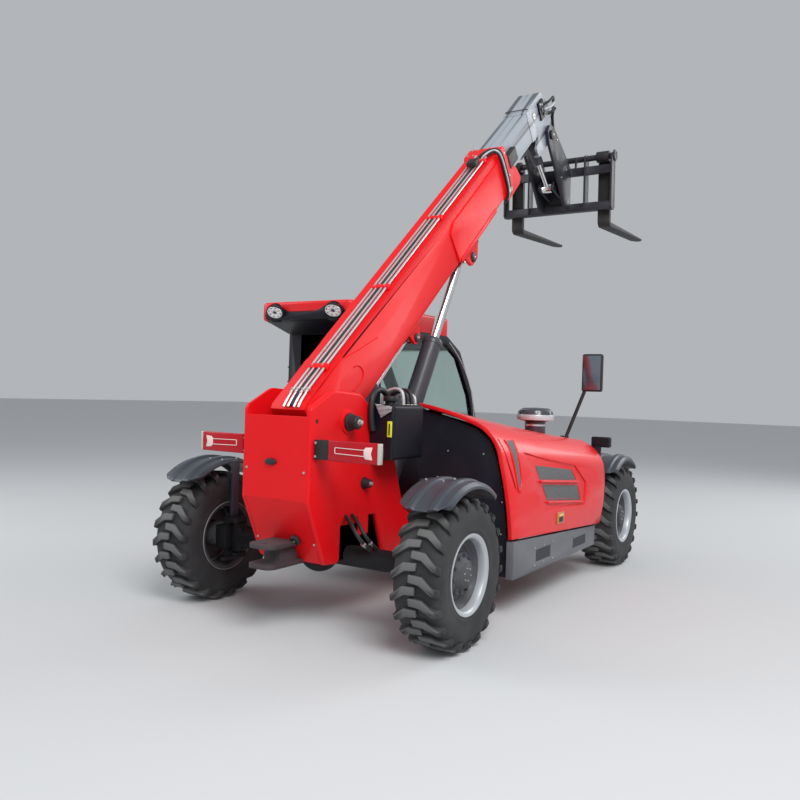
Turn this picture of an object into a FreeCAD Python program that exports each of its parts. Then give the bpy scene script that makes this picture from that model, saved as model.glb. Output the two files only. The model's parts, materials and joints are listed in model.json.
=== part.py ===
import FreeCAD, Part
import math
import os

os.makedirs("parts", exist_ok=True)
V = FreeCAD.Vector

# Telehandler. Millimetres, +X forward, +Y left, +Z up.
# Places are measured from the ground under the rear axle and moved by ORIGIN_X on export.

# Wheels and axles
WHEELBASE = 2866.0
TYRE_R = 415.5
TYRE_IN_Y = 746.0
TYRE_OUT_Y = 1028.0
TREAD_DEPTH = 28.0
LUGS_PER_SIDE = 18
LUG_WIDTH = 50.0
RIM_FLANGE_R = 222.5
RIM_SEAT_R = 205.0
RIM_IN_Y = 752.0
RIM_OUT_Y = 1019.0
BEAD_W = 8.0
HUB_R = 84.0
HUB_FLANGE_R = 120.0
KINGPIN_Y = 690.0
BOSS_R = 38.0
BOSS_IN = 22.0
SPINDLE_R = 46.0
RUNNING_GAP = 0.5
AXLE_R = 62.0
FENDER_GAP = 74.0
FENDER_T = 12.0
FENDER_IN_Y = 725.0
FENDER_OUT_Y = 1035.0

# Boom: s runs along it and t across it, from BOOM_0
BOOM_DEG = 41.2
BOOM_0 = (-60.0, 1190.0)
PIVOT = (-100.0, 1205.0)
PIVOT_R = 41.0
BOOM_HALF_W = 125.0
BOOM_WALL = 12.0
BOOM_BOTTOM = -90.0
BOOM_TOP = 265.0
BOOM_FRONT_S = 3100.0
COLLAR_S = 2930.0
CHEEK_T = 14.0
DOUBLER_T = 11.0
PIPE_R = 8.0
INNER_HALF_W = 105.0
INNER_BOTTOM = -10.0
INNER_TOP = 245.0
INNER_WALL = 10.0
INNER_REAR_S = 1050.0
HEAD_S = 3830.0
HEAD_PIN = (4150.0, -120.0)
HEAD_PIN_R = 30.0

# Cylinders: base pin, rod eye, barrel length and how far the rod closes from here
LIFT_BASE = (612.5, 560.0)
LIFT_EYE_ST = (2140.0, -190.0)
LIFT_BARREL = 1400.0
LIFT_CLOSING = 655.0
LIFT_PIN_R = 25.0
COMP_BASE = (60.0, 985.0)
COMP_EYE_ST = (1120.0, -205.0)
COMP_BARREL = 640.0
COMP_CLOSING = 187.0
COMP_PIN_R = 20.0
TILT_BASE_ST = (3930.0, 160.0)
TILT_EYE = (3450.0, 3420.0)
TILT_BARREL = 500.0
TILT_CLOSING = 154.0
TILT_PIN_R = 20.0

# Chassis
PLATE_IN_Y = 215.0
PLATE_OUT_Y = 245.0
PLATE_EDGE_R = 18.0
REAR_X = -440.0
HITCH_REAR_X = -560.0
HITCH_Z = 395.0
TAIL_TOP = (REAR_X, 770.0)
TAIL_FOOT = (-275.0, 412.0)
FRONT_X = WHEELBASE + 284.0
RAIL_BOTTOM_Z = 380.0
ARM_FRONT_X = WHEELBASE - 716.0
ARM_REAR_X = 800.0
ARM_W = 90.0

# Engine hood
HOOD_X0 = 690.0
HOOD_X1 = WHEELBASE - 566.0
HOOD_T = 26.0
HOOD_RECESS = 10.0
HOOD_IN_Y = -262.0
PANEL_T = 17.0
SKIRT_OUT_Y = -960.0
SKIRT_IN_Y = -910.0
SKIRT_BOTTOM_Z = 250.0
SHEET_T = 10.0

# Cab
CAB_RIGHT_Y = 190.0
CAB_LEFT_Y = 985.0
CAB_WALL = 45.0
CAB_REAR_X = 830.0
CAB_NOSE_X = WHEELBASE - 426.0
CAB_FLOOR_Z = 600.0
ROOF_REAR_X = 500.0
ROOF_Z = 1860.0
ROOF_TOP_Z = 2005.0
ROOF_LAMPS_Y = (337.0, 851.0)
ROOF_LAMP_Z = 1925.0
ROOF_LAMP_R = 66.0
GLASS_T = 8.0
HINGE_X = 890.0
HINGE_Y = 1003.0
HINGE_Z = (780.0, 1500.0)

# Carriage and forks, drawn upright and then raised at the head pin
CARRIAGE_X = 3715.0
CARRIAGE_HALF_W = 563.0
CARRIAGE_TUBE_Z = 3725.0
CARRIAGE_TUBE_R = 28.0
FORK_Y = 455.0
FORK_W = 120.0
FORK_T = 45.0
FORK_TIP_X = 5010.0
FORK_HEEL_Z = 3060.0
FORK_RISE_DEG = 2.0


def boom_xz(s, t):
    a = math.radians(BOOM_DEG)
    x = BOOM_0[0] + s * math.cos(a) - t * math.sin(a)
    z = BOOM_0[1] + s * math.sin(a) + t * math.cos(a)
    return (x, z)


def raised_xz(x, z, degrees=FORK_RISE_DEG):
    px, pz = boom_xz(*HEAD_PIN)
    a = math.radians(degrees)
    dx, dz = x - px, z - pz
    return (px + dx * math.cos(a) - dz * math.sin(a), pz + dx * math.sin(a) + dz * math.cos(a))


# The origin is midway between hitch and fork tips
ORIGIN_X = (raised_xz(FORK_TIP_X, FORK_HEEL_Z + 36)[0] + HITCH_REAR_X) / 2


def box(x0, x1, y0, y1, z0, z1):
    return Part.makeBox(x1 - x0, y1 - y0, z1 - z0, V(x0, y0, z0))


def prism(points, along):
    wire = Part.makePolygon(points + [points[0]])
    return Part.Face(wire).extrude(along)


def side_prism(xz, y0, y1):
    return prism([V(x, y0, z) for x, z in xz], V(0, y1 - y0, 0))


def boom_prism(st, y0, y1):
    return side_prism([boom_xz(s, t) for s, t in st], y0, y1)


def cross_prism(yz, x0, x1):
    return prism([V(x0, y, z) for y, z in yz], V(x1 - x0, 0, 0))


def plan_prism(xy, z0, z1):
    return prism([V(x, y, z0) for x, y in xy], V(0, 0, z1 - z0))


def rounded_face(corners):
    """A face from corners (point, radius): straight edges joined by arcs."""
    starts, arcs, ends = [], [], []
    n = len(corners)
    for i, (p, r) in enumerate(corners):
        if r == 0:
            starts.append(p)
            arcs.append(None)
            ends.append(p)
            continue
        u = (corners[i - 1][0] - p).normalize()
        v = (corners[(i + 1) % n][0] - p).normalize()
        half = u.getAngle(v) / 2
        middle = (u + v).normalize()
        reach = r / math.tan(half)
        starts.append(p + u * reach)
        arcs.append(p + middle * (r / math.sin(half) - r))
        ends.append(p + v * reach)
    edges = []
    for i in range(n):
        if arcs[i]:
            edges.append(Part.Arc(starts[i], arcs[i], ends[i]).toShape())
        after = starts[(i + 1) % n]
        if (after - ends[i]).Length > 0.001:
            edges.append(Part.LineSegment(ends[i], after).toShape())
    return Part.Face(Part.Wire(edges))


def side_plate(xzr, y0, y1):
    return rounded_face([(V(x, y0, z), r) for x, z, r in xzr]).extrude(V(0, y1 - y0, 0))


def plan_plate(xyr, z0, z1):
    return rounded_face([(V(x, y, z0), r) for x, y, r in xyr]).extrude(V(0, 0, z1 - z0))


def boom_plate(str_, y0, y1):
    corners = []
    for s, t, r in str_:
        x, z = boom_xz(s, t)
        corners.append((V(x, y0, z), r))
    return rounded_face(corners).extrude(V(0, y1 - y0, 0))


def rod(p, q, r):
    a = V(*p)
    d = V(*q) - a
    return Part.makeCylinder(r, d.Length, a, d)


def cross_pin(xz, y0, y1, r):
    return Part.makeCylinder(r, y1 - y0, V(xz[0], y0, xz[1]), V(0, 1, 0))


def fuse(shapes):
    whole = shapes[0]
    for s in shapes[1:]:
        whole = whole.fuse(s)
    return whole.removeSplitter()


def mirror_y(shape):
    return shape.mirror(V(0, 0, 0), V(0, 1, 0))


def export(name, shapes):
    shape = shapes[0] if len(shapes) == 1 else Part.makeCompound(shapes)
    moved = shape.copy()
    moved.translate(V(-ORIGIN_X, 0, 0))
    moved.exportStep("parts/" + name + ".step")


# Tyre: a carcass with one flat per half pitch, and lugs bent back to both shoulders
def ring_point(y, r, a):
    return V(r * math.sin(a), y, TYRE_R + r * math.cos(a))


def carcass():
    flats = 2 * LUGS_PER_SIDE
    corner = 1 / math.cos(math.pi / flats)
    groove_r = TYRE_R - TREAD_DEPTH
    half = [
        (TYRE_OUT_Y - 4, groove_r - 14.0),
        (TYRE_OUT_Y - 14, RIM_FLANGE_R + 40),
        (RIM_OUT_Y - BEAD_W, RIM_FLANGE_R + 2),
        (RIM_OUT_Y - BEAD_W, RIM_SEAT_R),
        (RIM_IN_Y + BEAD_W, RIM_SEAT_R),
        (RIM_IN_Y + BEAD_W, RIM_FLANGE_R + 2),
        (TYRE_IN_Y + 14, RIM_FLANGE_R + 40),
        (TYRE_IN_Y + 4, groove_r - 14.0),
    ]
    faces = []
    for k in range(flats):
        a0 = 2 * math.pi * k / flats
        a1 = 2 * math.pi * (k + 1) / flats
        for j in range(len(half)):
            y0, r0 = half[j]
            y1, r1 = half[(j + 1) % len(half)]
            ring = [ring_point(y0, r0 * corner, a0), ring_point(y1, r1 * corner, a0),
                    ring_point(y1, r1 * corner, a1), ring_point(y0, r0 * corner, a1)]
            faces.append(Part.Face(Part.makePolygon(ring + [ring[0]])))
    solid = Part.Solid(Part.makeShell(faces))
    if solid.Volume < 0:
        solid.reverse()
    return solid


def lug(angle, side):
    """One bar from just past the middle of the tread, bent back to a shoulder."""
    middle = (TYRE_IN_Y + TYRE_OUT_Y) / 2
    reach = (TYRE_OUT_Y - TYRE_IN_Y) / 2
    w = LUG_WIDTH / 2
    # along the tread forward, across it from the middle
    plan = [(w, -18.0), (w - 4, 58.0), (w - 78, reach), (-w - 78, reach), (-w, -18.0)]
    foot = TYRE_R - TREAD_DEPTH - 40
    crown = TYRE_R - 3.5
    bar = prism([V(u + 26, middle + side * v, TYRE_R + foot) for u, v in plan], V(0, 0, crown - foot))
    bar.rotate(V(0, 0, TYRE_R), V(0, 1, 0), math.degrees(angle))
    return bar


def tyre_left():
    pitch = 2 * math.pi / LUGS_PER_SIDE
    lugs = []
    for k in range(LUGS_PER_SIDE):
        lugs.append(lug(k * pitch, 1))
        lugs.append(lug((k + 0.5) * pitch, -1))
    return carcass().multiFuse(lugs).removeSplitter()


# Rims, hubs and knuckles: outer face toward +Y when side is 1
def turned(profile, x, side):
    pts = [V(x, side * y, TYRE_R + r) for y, r in profile]
    face = Part.Face(Part.makePolygon(pts + [pts[0]]))
    return face.revolve(V(x, 0, TYRE_R), V(0, 1, 0), 360)


def rim(x, side):
    disc_y = RIM_OUT_Y - 94.0
    disc_t = 18.0
    profile = [
        (RIM_IN_Y, RIM_FLANGE_R),
        (RIM_IN_Y, RIM_SEAT_R - 10),
        (disc_y, RIM_SEAT_R - 33),
        (disc_y, HUB_R),
        (disc_y + disc_t, HUB_R),
        (disc_y + disc_t, RIM_SEAT_R - 45),
        (RIM_OUT_Y, RIM_SEAT_R - 15),
        (RIM_OUT_Y, RIM_FLANGE_R),
        (RIM_OUT_Y - BEAD_W, RIM_FLANGE_R),
        (RIM_OUT_Y - BEAD_W, RIM_SEAT_R),
        (RIM_IN_Y + BEAD_W, RIM_SEAT_R),
        (RIM_IN_Y + BEAD_W, RIM_FLANGE_R),
    ]
    return turned(profile, x, side)


def hub(x, side):
    flange_y = RIM_OUT_Y - 76.0
    profile = [
        (KINGPIN_Y + 110, SPINDLE_R + RUNNING_GAP),
        (KINGPIN_Y + 110, HUB_R),
        (flange_y, HUB_R),
        (flange_y, HUB_FLANGE_R),
        (flange_y + 22, HUB_FLANGE_R),
        (flange_y + 22, HUB_R + 8),
        (flange_y + 52, HUB_R - 14),
        (flange_y + 57, HUB_R - 34),
        (flange_y + 57, 0.0),
        (KINGPIN_Y + 202, 0.0),
        (KINGPIN_Y + 202, SPINDLE_R + RUNNING_GAP),
    ]
    return turned(profile, x, side)


def knuckle(x, side):
    body = box(x - 75, x + 75, KINGPIN_Y - 40, KINGPIN_Y + 105, TYRE_R - 75, TYRE_R + 75)
    parts = [body]
    for z in (TYRE_R - 130, TYRE_R + 95):
        parts.append(plan_plate([(x - 60, KINGPIN_Y - 55, 25), (x - 60, KINGPIN_Y + 48, 0),
                                 (x + 60, KINGPIN_Y + 48, 0), (x + 60, KINGPIN_Y - 55, 25)], z, z + 35))
    parts.append(box(x - 60, x + 60, KINGPIN_Y + 22, KINGPIN_Y + 48, TYRE_R - 130, TYRE_R + 130))
    parts.append(box(x - 150, x - 50, KINGPIN_Y - 50, KINGPIN_Y - 10, TYRE_R - 130, TYRE_R - 110))
    whole = fuse(parts)
    boss_out = KINGPIN_Y - BOSS_IN + BOSS_R + RUNNING_GAP
    gap = box(x - 160, x + 80, KINGPIN_Y - 60, boss_out, TYRE_R - 95, TYRE_R + 95)
    whole = whole.cut(gap)
    whole = fuse([whole, cross_pin((x, TYRE_R), KINGPIN_Y + 50, KINGPIN_Y + 200, SPINDLE_R)])
    return whole if side > 0 else mirror_y(whole)


def fender(x, side):
    r = TYRE_R + FENDER_GAP
    t = FENDER_T
    rib = 14.0
    top = [
        (FENDER_IN_Y, r - 14), (FENDER_IN_Y, r - 2), (FENDER_IN_Y + 18, r + t),
        (FENDER_IN_Y + 70, r + t), (FENDER_IN_Y + 82, r + t + rib), (FENDER_IN_Y + 112, r + t + rib),
        (FENDER_IN_Y + 124, r + t), (FENDER_OUT_Y - 110, r + t), (FENDER_OUT_Y - 98, r + t + rib),
        (FENDER_OUT_Y - 66, r + t + rib), (FENDER_OUT_Y - 54, r + t), (FENDER_OUT_Y - 16, r + t),
        (FENDER_OUT_Y, r - 12), (FENDER_OUT_Y, r - 26), (FENDER_OUT_Y - 12, r - 26),
        (FENDER_OUT_Y - 26, r), (FENDER_IN_Y + 20, r), (FENDER_IN_Y + 12, r - 14),
    ]
    half_arc = 43.0
    pts = [V(x, y, TYRE_R + q) for y, q in top]
    face = Part.Face(Part.makePolygon(pts + [pts[0]]))
    face.rotate(V(x, 0, TYRE_R), V(0, 1, 0), -half_arc)
    arc = face.revolve(V(x, 0, TYRE_R), V(0, 1, 0), 2 * half_arc)
    stay = box(x - 30, x + 30, KINGPIN_Y + 10, KINGPIN_Y + 32, TYRE_R + 130, TYRE_R + r - 2)
    lip = box(x - 30, x + 30, KINGPIN_Y + 10, KINGPIN_Y + 70, TYRE_R + r - 4, TYRE_R + r + 4)
    whole = fuse([arc, stay, lip])
    return whole if side > 0 else mirror_y(whole)


def axle(x):
    beam = cross_pin((x, TYRE_R), -640, 640, AXLE_R)
    bowl = Part.makeSphere(125, V(x, 0, TYRE_R))
    parts = [beam, bowl]
    for side in (-1, 1):
        y0, y1 = sorted((side * (KINGPIN_Y - 35), side * (KINGPIN_Y - 95)))
        parts.append(box(x - 55, x + 55, y0, y1, TYRE_R - 70, TYRE_R + 70))
        boss_foot = V(x, side * (KINGPIN_Y - BOSS_IN), TYRE_R - 90)
        parts.append(Part.makeCylinder(BOSS_R, 180, boss_foot, V(0, 0, 1)))
    return fuse(parts)


# Chassis: two tall side plates, rails, ends and cross members
def edge_rounded(plate, y, chain):
    """Rounds the edges of a side plate's face y that follow the chain of (x, z) corners."""
    picked = []
    for e in plate.Edges:
        on_face = all(abs(v.Y - y) < 0.01 for v in e.Vertexes)
        middle = e.valueAt((e.FirstParameter + e.LastParameter) / 2)
        near = any(abs(middle.x - x) < 12 and low <= middle.z <= high for x, low, high in chain)
        if on_face and near:
            picked.append(e)
    return plate.makeFillet(PLATE_EDGE_R, picked)


def chassis():
    foot_x = WHEELBASE - 466.0
    plate_xz = [
        (REAR_X, 760, 40), (REAR_X, 1285, 40), (-233, 1390, 90), (30, 1374, 90),
        (190, 1270, 60), (420, 1000, 80), (560, 640, 40), (700, 560, 40), (foot_x + 20, 560, 20),
        (foot_x + 80, 650, 20), (foot_x + 80, 800, 20), (FRONT_X, 800, 30), (FRONT_X, 640, 30),
        (foot_x + 160, 640, 30), (foot_x, RAIL_BOTTOM_Z, 40), (330, RAIL_BOTTOM_Z, 40), (230, 635, 40),
        (-95, 635, 30), (-128, 600, 15), (-128, 385, 40), (-270, 400, 30),
    ]
    left = side_plate(plate_xz, PLATE_IN_Y, PLATE_OUT_Y)
    left = edge_rounded(left, PLATE_OUT_Y, [(REAR_X, 780, 1270)])
    right = mirror_y(left)
    w = PLATE_IN_Y + 2
    rear = side_prism([TAIL_TOP, (REAR_X, 1235), (REAR_X + 30, 1235), (REAR_X + 30, 774),
                       (-245, 410), (-262, 400), TAIL_FOOT], -w, w)
    weight = side_prism([(REAR_X + 25, 790), (REAR_X + 25, 1000), (-250, 1000), (-250, 560),
                         (-300, 520)], -w, w)
    floor = box(330, foot_x, -PLATE_OUT_Y, PLATE_OUT_Y, RAIL_BOTTOM_Z, RAIL_BOTTOM_Z + 25)
    front = box(FRONT_X - 30, FRONT_X, -w, w, 640, 800)
    deck = box(foot_x + 80, FRONT_X, -w, w, 640, 665)
    parts = [left, right, rear, weight, floor, front, deck]
    for x in (0.0, WHEELBASE):
        parts.append(box(x - 110, x + 110, -w, w, 600, 640))
        parts.append(box(x - 70, x + 70, -130, 130, TYRE_R + 55, 605))
    for side in (-1, 1):
        y0, y1 = sorted((side * (PLATE_OUT_Y - 10), side * PLATE_OUT_Y))
        parts.append(box(45, 148, y0, y1, 530, 645))
        y0, y1 = sorted((side * (PLATE_OUT_Y - 5), side * (PLATE_OUT_Y + 12)))
        parts.append(cross_pin(PIVOT, y0, y1, 66))
    for x in (ARM_REAR_X, ARM_FRONT_X):
        parts.append(box(x, x + ARM_W, SKIRT_IN_Y, 900, 400, 480))
        for y in (300, 820):
            parts.append(box(x, x + ARM_W, y, y + 80, 480, CAB_FLOOR_Z))
    for x in (1100, 1750):
        parts.append(box(x, x + 80, -780, -PLATE_IN_Y, 400, 430))
    for y in (-100, 75):
        parts.append(side_plate([(540, 400, 0), (700, 400, 0), (665, 610, 40), (560, 610, 40)], y, y + 25))
    for y in (-85, 60):
        parts.append(side_plate([(-20, 920, 0), (110, 920, 0), (110, 1030, 35), (10, 1030, 35)], y, y + 25))
    parts.append(box(-30, 110, -w, w, 890, 925))
    whole = fuse(parts)
    return whole.cut(axle(0.0)).cut(axle(WHEELBASE))


def fixed_pins():
    pivot = cross_pin(PIVOT, -PLATE_OUT_Y - 17, PLATE_OUT_Y + 17, PIVOT_R)
    lift = cross_pin(LIFT_BASE, -106, 106, LIFT_PIN_R)
    comp = cross_pin(COMP_BASE, -92, 92, COMP_PIN_R)
    return [pivot, lift, comp]


def hitch():
    half = 90.0
    plates = []
    for z in (HITCH_Z, HITCH_Z + 110):
        corners = [(HITCH_REAR_X, -half, 55), (TAIL_FOOT[0], -half, 0), (TAIL_FOOT[0], half, 0),
                   (HITCH_REAR_X, half, 55)]
        plates.append(plan_plate(corners, z, z + 25))
    for y in (-60.0, 40.0):
        plates.append(box(-440, TAIL_FOOT[0], y, y + 20, HITCH_Z + 5, HITCH_Z + 125))
    plates.append(box(-440, -425, -60, 60, HITCH_Z + 5, HITCH_Z + 125))
    under = HITCH_Z - 10
    ahead = [TAIL_TOP, TAIL_FOOT, (TAIL_FOOT[0], under), (0, under), (0, TAIL_TOP[1])]
    slope = side_prism(ahead, -half - 5, half + 5)
    whole = fuse(plates).cut(slope)
    return whole.cut(Part.makeCylinder(17, 200, V(-510, 0, 360), V(0, 0, 1)))


# Engine hood: sections of three arcs at the rear and the front, joined straight
HOOD_REAR = [(HOOD_IN_Y, 1325), (-480, 1281), (-690, 1214), (-806, 1127), (-868, 985), (-917, 770),
             (-950, 500)]
HOOD_FRONT = [(HOOD_IN_Y, 1085), (-500, 1081), (-735, 1066), (-925, 1000), (-1008, 870), (-1017, 640),
              (-985, 415)]
GRILLES = [
    # corner places (x, z): rear top, front top, front bottom, rear bottom, and slats
    ([(1145, 928), (1700, 872), (1775, 792), (1180, 836)], 4),
    ([(1205, 800), (1800, 752), (1850, 640), (1262, 690)], 4),
]
RECESS = [(1000, 1022), (1330, 960), (1760, 900), (1935, 765), (1905, 602), (1222, 640)]
SLIT = [(735, 1112), (766, 1104), (792, 985), (806, 815), (776, 930), (752, 1020)]


def inset(points, d):
    out = []
    n = len(points)
    for i in range(n):
        a = points[max(i - 1, 0)]
        b = points[min(i + 1, n - 1)]
        dy, dz = b[0] - a[0], b[1] - a[1]
        length = math.hypot(dy, dz)
        out.append((points[i][0] - dz / length * d, points[i][1] + dy / length * d))
    return out


def arcs(x, yz):
    edges = []
    for i in range(0, len(yz) - 2, 2):
        a, b, c = [V(x, y, z) for y, z in yz[i:i + 3]]
        edges.append(Part.Arc(a, b, c).toShape())
    return edges


def hood_sheet(d0, d1):
    """The hood's sheet between depths d0 and d1 under its outer face."""
    wires = []
    for x, section in ((HOOD_X0, HOOD_REAR), (HOOD_X1, HOOD_FRONT)):
        outer = inset(section, d0)
        inner = inset(section, d1)[::-1]
        joins = [(outer[-1], inner[0]), (inner[-1], outer[0])]
        lines = [Part.LineSegment(V(x, *p), V(x, *q)).toShape() for p, q in joins]
        wires.append(Part.Wire(arcs(x, outer) + [lines[0]] + arcs(x, inner) + [lines[1]]))
    return Part.makeLoft(wires, True, True)


def hood_axis(x):
    """The hinge line at the top inner edge of the hood."""
    share = (x - HOOD_X0) / (HOOD_X1 - HOOD_X0)
    z = HOOD_REAR[0][1] + (HOOD_FRONT[0][1] - HOOD_REAR[0][1]) * share
    return V(x, HOOD_IN_Y + 4, z - HOOD_T)


HINGES = [(HOOD_X0 + 180, 80.0), (HOOD_X1 - 260, 80.0)]
HINGE_R = 10.0
HINGE_PIN_R = 4.5


def hinge_rod(x, back, ahead, r):
    d = (hood_axis(x + 100) - hood_axis(x)).normalize()
    a = hood_axis(x) + d * back
    return Part.makeCylinder(r, ahead - back, a, d)


def hood_lid():
    lid = hood_sheet(0, HOOD_T)
    core = hood_sheet(HOOD_RECESS, HOOD_T + 40)
    lid = lid.cut(side_prism(RECESS, -1100, -700).cut(core))
    slats = []
    inner = hood_sheet(HOOD_RECESS + 2, HOOD_T)
    for (a, b, c, d), count in GRILLES:
        lid = lid.cut(side_prism([a, b, c, d], -1100, -700))
        for k in range(count):
            f0 = (k + 0.35) / count
            f1 = (k + 0.65) / count
            left0 = (a[0] + (d[0] - a[0]) * f0 - 6, a[1] + (d[1] - a[1]) * f0)
            left1 = (a[0] + (d[0] - a[0]) * f1 - 6, a[1] + (d[1] - a[1]) * f1)
            right0 = (b[0] + (c[0] - b[0]) * f0 + 6, b[1] + (c[1] - b[1]) * f0)
            right1 = (b[0] + (c[0] - b[0]) * f1 + 6, b[1] + (c[1] - b[1]) * f1)
            slats.append(side_prism([left0, right0, right1, left1], -1100, -700).common(inner))
    lid = lid.cut(side_prism(SLIT, -1100, -700))
    lid = fuse([lid] + slats)
    for x, length in HINGES:
        lid = lid.cut(hinge_rod(x, -43, length + 43, HINGE_R + 3))
        leaf = hinge_rod(x, 1, length - 1, HINGE_R)
        under_top = hood_sheet(HOOD_T - 8, HOOD_T + 6)
        tab = box(x + 2, x + length - 4, HOOD_IN_Y - 40, HOOD_IN_Y - 4, 0, 2000).common(under_top)
        lid = fuse([lid, leaf, tab])
        lid = lid.cut(hinge_rod(x, -60, length + 60, HINGE_PIN_R + RUNNING_GAP))
    return lid


def hood_frame():
    rear = inset(HOOD_REAR, HOOD_T + 24)
    rear_poly = rear + [(-905, 480), (-905, SKIRT_BOTTOM_Z + 5), (-640, SKIRT_BOTTOM_Z + 5), (-620, 480),
                        (HOOD_IN_Y + PANEL_T, 480), (HOOD_IN_Y + PANEL_T, rear[0][1])]
    rear_panel = cross_prism(rear_poly, HOOD_X0 + 35, HOOD_X0 + 65)
    front_x = HOOD_X1 + 8
    front_poly = HOOD_FRONT[:-1] + [(-1003, 540), (HOOD_IN_Y + PANEL_T, 540),
                                    (HOOD_IN_Y + PANEL_T, HOOD_FRONT[0][1])]
    front_panel = cross_prism(front_poly, front_x, front_x + 14)
    top0 = hood_axis(HOOD_X0 + 35).z - 6
    top1 = hood_axis(front_x).z - 6
    inner = side_prism([(HOOD_X0 + 35, 480), (HOOD_X0 + 35, top0), (front_x, top1), (front_x, 480)],
                       HOOD_IN_Y, HOOD_IN_Y + PANEL_T)
    lamp_bracket = box(front_x + 10, front_x + 45, -965, -900, 930, 1015)
    lamp = box(front_x + 40, front_x + 100, -1030, -880, 1008, 1090)
    lamp = lamp.makeFillet(12, lamp.Edges)
    frame = fuse([rear_panel, front_panel, inner, lamp_bracket, lamp])
    for x, length in HINGES:
        frame = frame.cut(hinge_rod(x, -1, length + 1, HINGE_R + 3))
        ends = [hinge_rod(x, -40, 0, HINGE_R), hinge_rod(x, length, length + 40, HINGE_R)]
        frame = fuse([frame, hinge_rod(x, -40, length + 40, HINGE_PIN_R)] + ends)
    return frame


SKIRT_X0 = 700.0
SKIRT_X1 = WHEELBASE - 596.0
SKIRT_WINDOWS = [
    # rear x, front x, bottom z, top z
    (1066, 1329, 305, 385),
    (1775, 2055, 292, 362),
]


def skirt_top(x):
    return 485 - 85 * (x - SKIRT_X0) / (SKIRT_X1 - SKIRT_X0)


def side_skirt():
    y0, y1 = SKIRT_OUT_Y, SKIRT_IN_Y
    corners = [(SKIRT_X0, SKIRT_BOTTOM_Z), (SKIRT_X1, SKIRT_BOTTOM_Z), (SKIRT_X1, skirt_top(SKIRT_X1)),
               (SKIRT_X0, skirt_top(SKIRT_X0))]
    block = side_prism(corners, y0, y1)
    inside = side_prism([(SKIRT_X0 + SHEET_T, SKIRT_BOTTOM_Z + SHEET_T),
                         (SKIRT_X1 - SHEET_T, SKIRT_BOTTOM_Z + SHEET_T),
                         (SKIRT_X1 - SHEET_T, skirt_top(SKIRT_X1) - SHEET_T),
                         (SKIRT_X0 + SHEET_T, skirt_top(SKIRT_X0) - SHEET_T)], y0 + SHEET_T, y1 + 1)
    skirt = block.cut(inside)
    ribs = []
    for x in (ARM_REAR_X, ARM_FRONT_X):
        ribs.append(box(x, x + ARM_W, y0 + SHEET_T - 1, y1, SKIRT_BOTTOM_Z + 2, skirt_top(x + ARM_W) - 2))
    bars = []
    for x0, x1, z0, z1 in SKIRT_WINDOWS:
        skirt = skirt.cut(box(x0, x1, y0 - 1, y0 + SHEET_T + 1, z0, z1))
        for k in (1, 2, 3):
            z = z0 + (z1 - z0) * k / 4
            bars.append(box(x0 - 5, x1 + 5, y0 + 4, y0 + SHEET_T, z - 4, z + 4))
    return fuse([skirt] + ribs + bars)


def engine():
    return box(1050, 1900, -780, -330, 430, 980)


def rear_tank():
    tank = box(130, 480, -420, -PLATE_OUT_Y, 980, 1310)
    outer = [e for e in tank.Edges if all(v.Y < -400 for v in e.Vertexes)]
    tank = tank.makeFillet(28, outer)
    neck = Part.makeCylinder(34, 26, V(215, -335, 1308), V(0, 0, 1))
    return fuse([tank, neck])


# Tail lamps on brackets, drawn on the left; the right one stands further out
TAIL_LAMPS = [
    # side, inner y, outer y
    (1, 262.0, 600.0),
    (-1, 296.0, 684.0),
]


def tail_lamp(side, y0, y1):
    bar = box(-390, -360, PLATE_OUT_Y, y1, 1030, 1095)
    mount = box(-405, -355, PLATE_OUT_Y, y0 + 4, 1010, 1105)
    lamp = box(-418, -388, y0, y1, 1000, 1120)
    lamp = lamp.makeFillet(7, [e for e in lamp.Edges if all(v.X < -410 for v in e.Vertexes)])
    whole = fuse([bar, mount, lamp])
    return whole if side > 0 else mirror_y(whole)


# Cab: outlines run from the rear foot forward round the nose to the roof
def cab_outline(rear, floor, offsets, top):
    """offsets are (x from the nose, z) up the front edge."""
    return [(rear, floor)] + [(CAB_NOSE_X + x, z) for x, z in offsets] + [(rear, top)]


CAB_FRONT = [(-200, CAB_FLOOR_Z), (-110, 800), (0, 1050), (-10, 1200), (-95, 1420), (-340, 1750),
             (-570, 1860)]
CAB_HOLLOW = [(-235, CAB_FLOOR_Z + CAB_WALL), (-150, 815), (-48, 1060), (-55, 1185), (-135, 1395),
              (-368, 1712), (-585, 1815), (-585, 1900)]
DOOR_GAP = [(-250, 660), (-165, 825), (-68, 1055), (-75, 1190), (-155, 1385), (-385, 1690), (-600, 1800)]
DOOR_EDGE = [(-256, 668), (-173, 828), (-77, 1058), (-83, 1188), (-162, 1381), (-390, 1683), (-603, 1792)]
WINDOW_EDGE = [(-75, 1080), (-68, 1190), (-150, 1385), (-380, 1690), (-600, 1800)]
DOOR_PANE_EDGE = [(-140, 1080), (-135, 1180), (-205, 1360), (-420, 1645), (-610, 1740)]
REAR_PANE = (CAB_RIGHT_Y + 90, CAB_LEFT_Y - 115, 1280.0, 1800.0)
FRONT_PANE_EDGE = 55.0
FRONT_PANE_BOTTOM = 1070.0
FRONT_PANE_TOP = 1775.0


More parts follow.
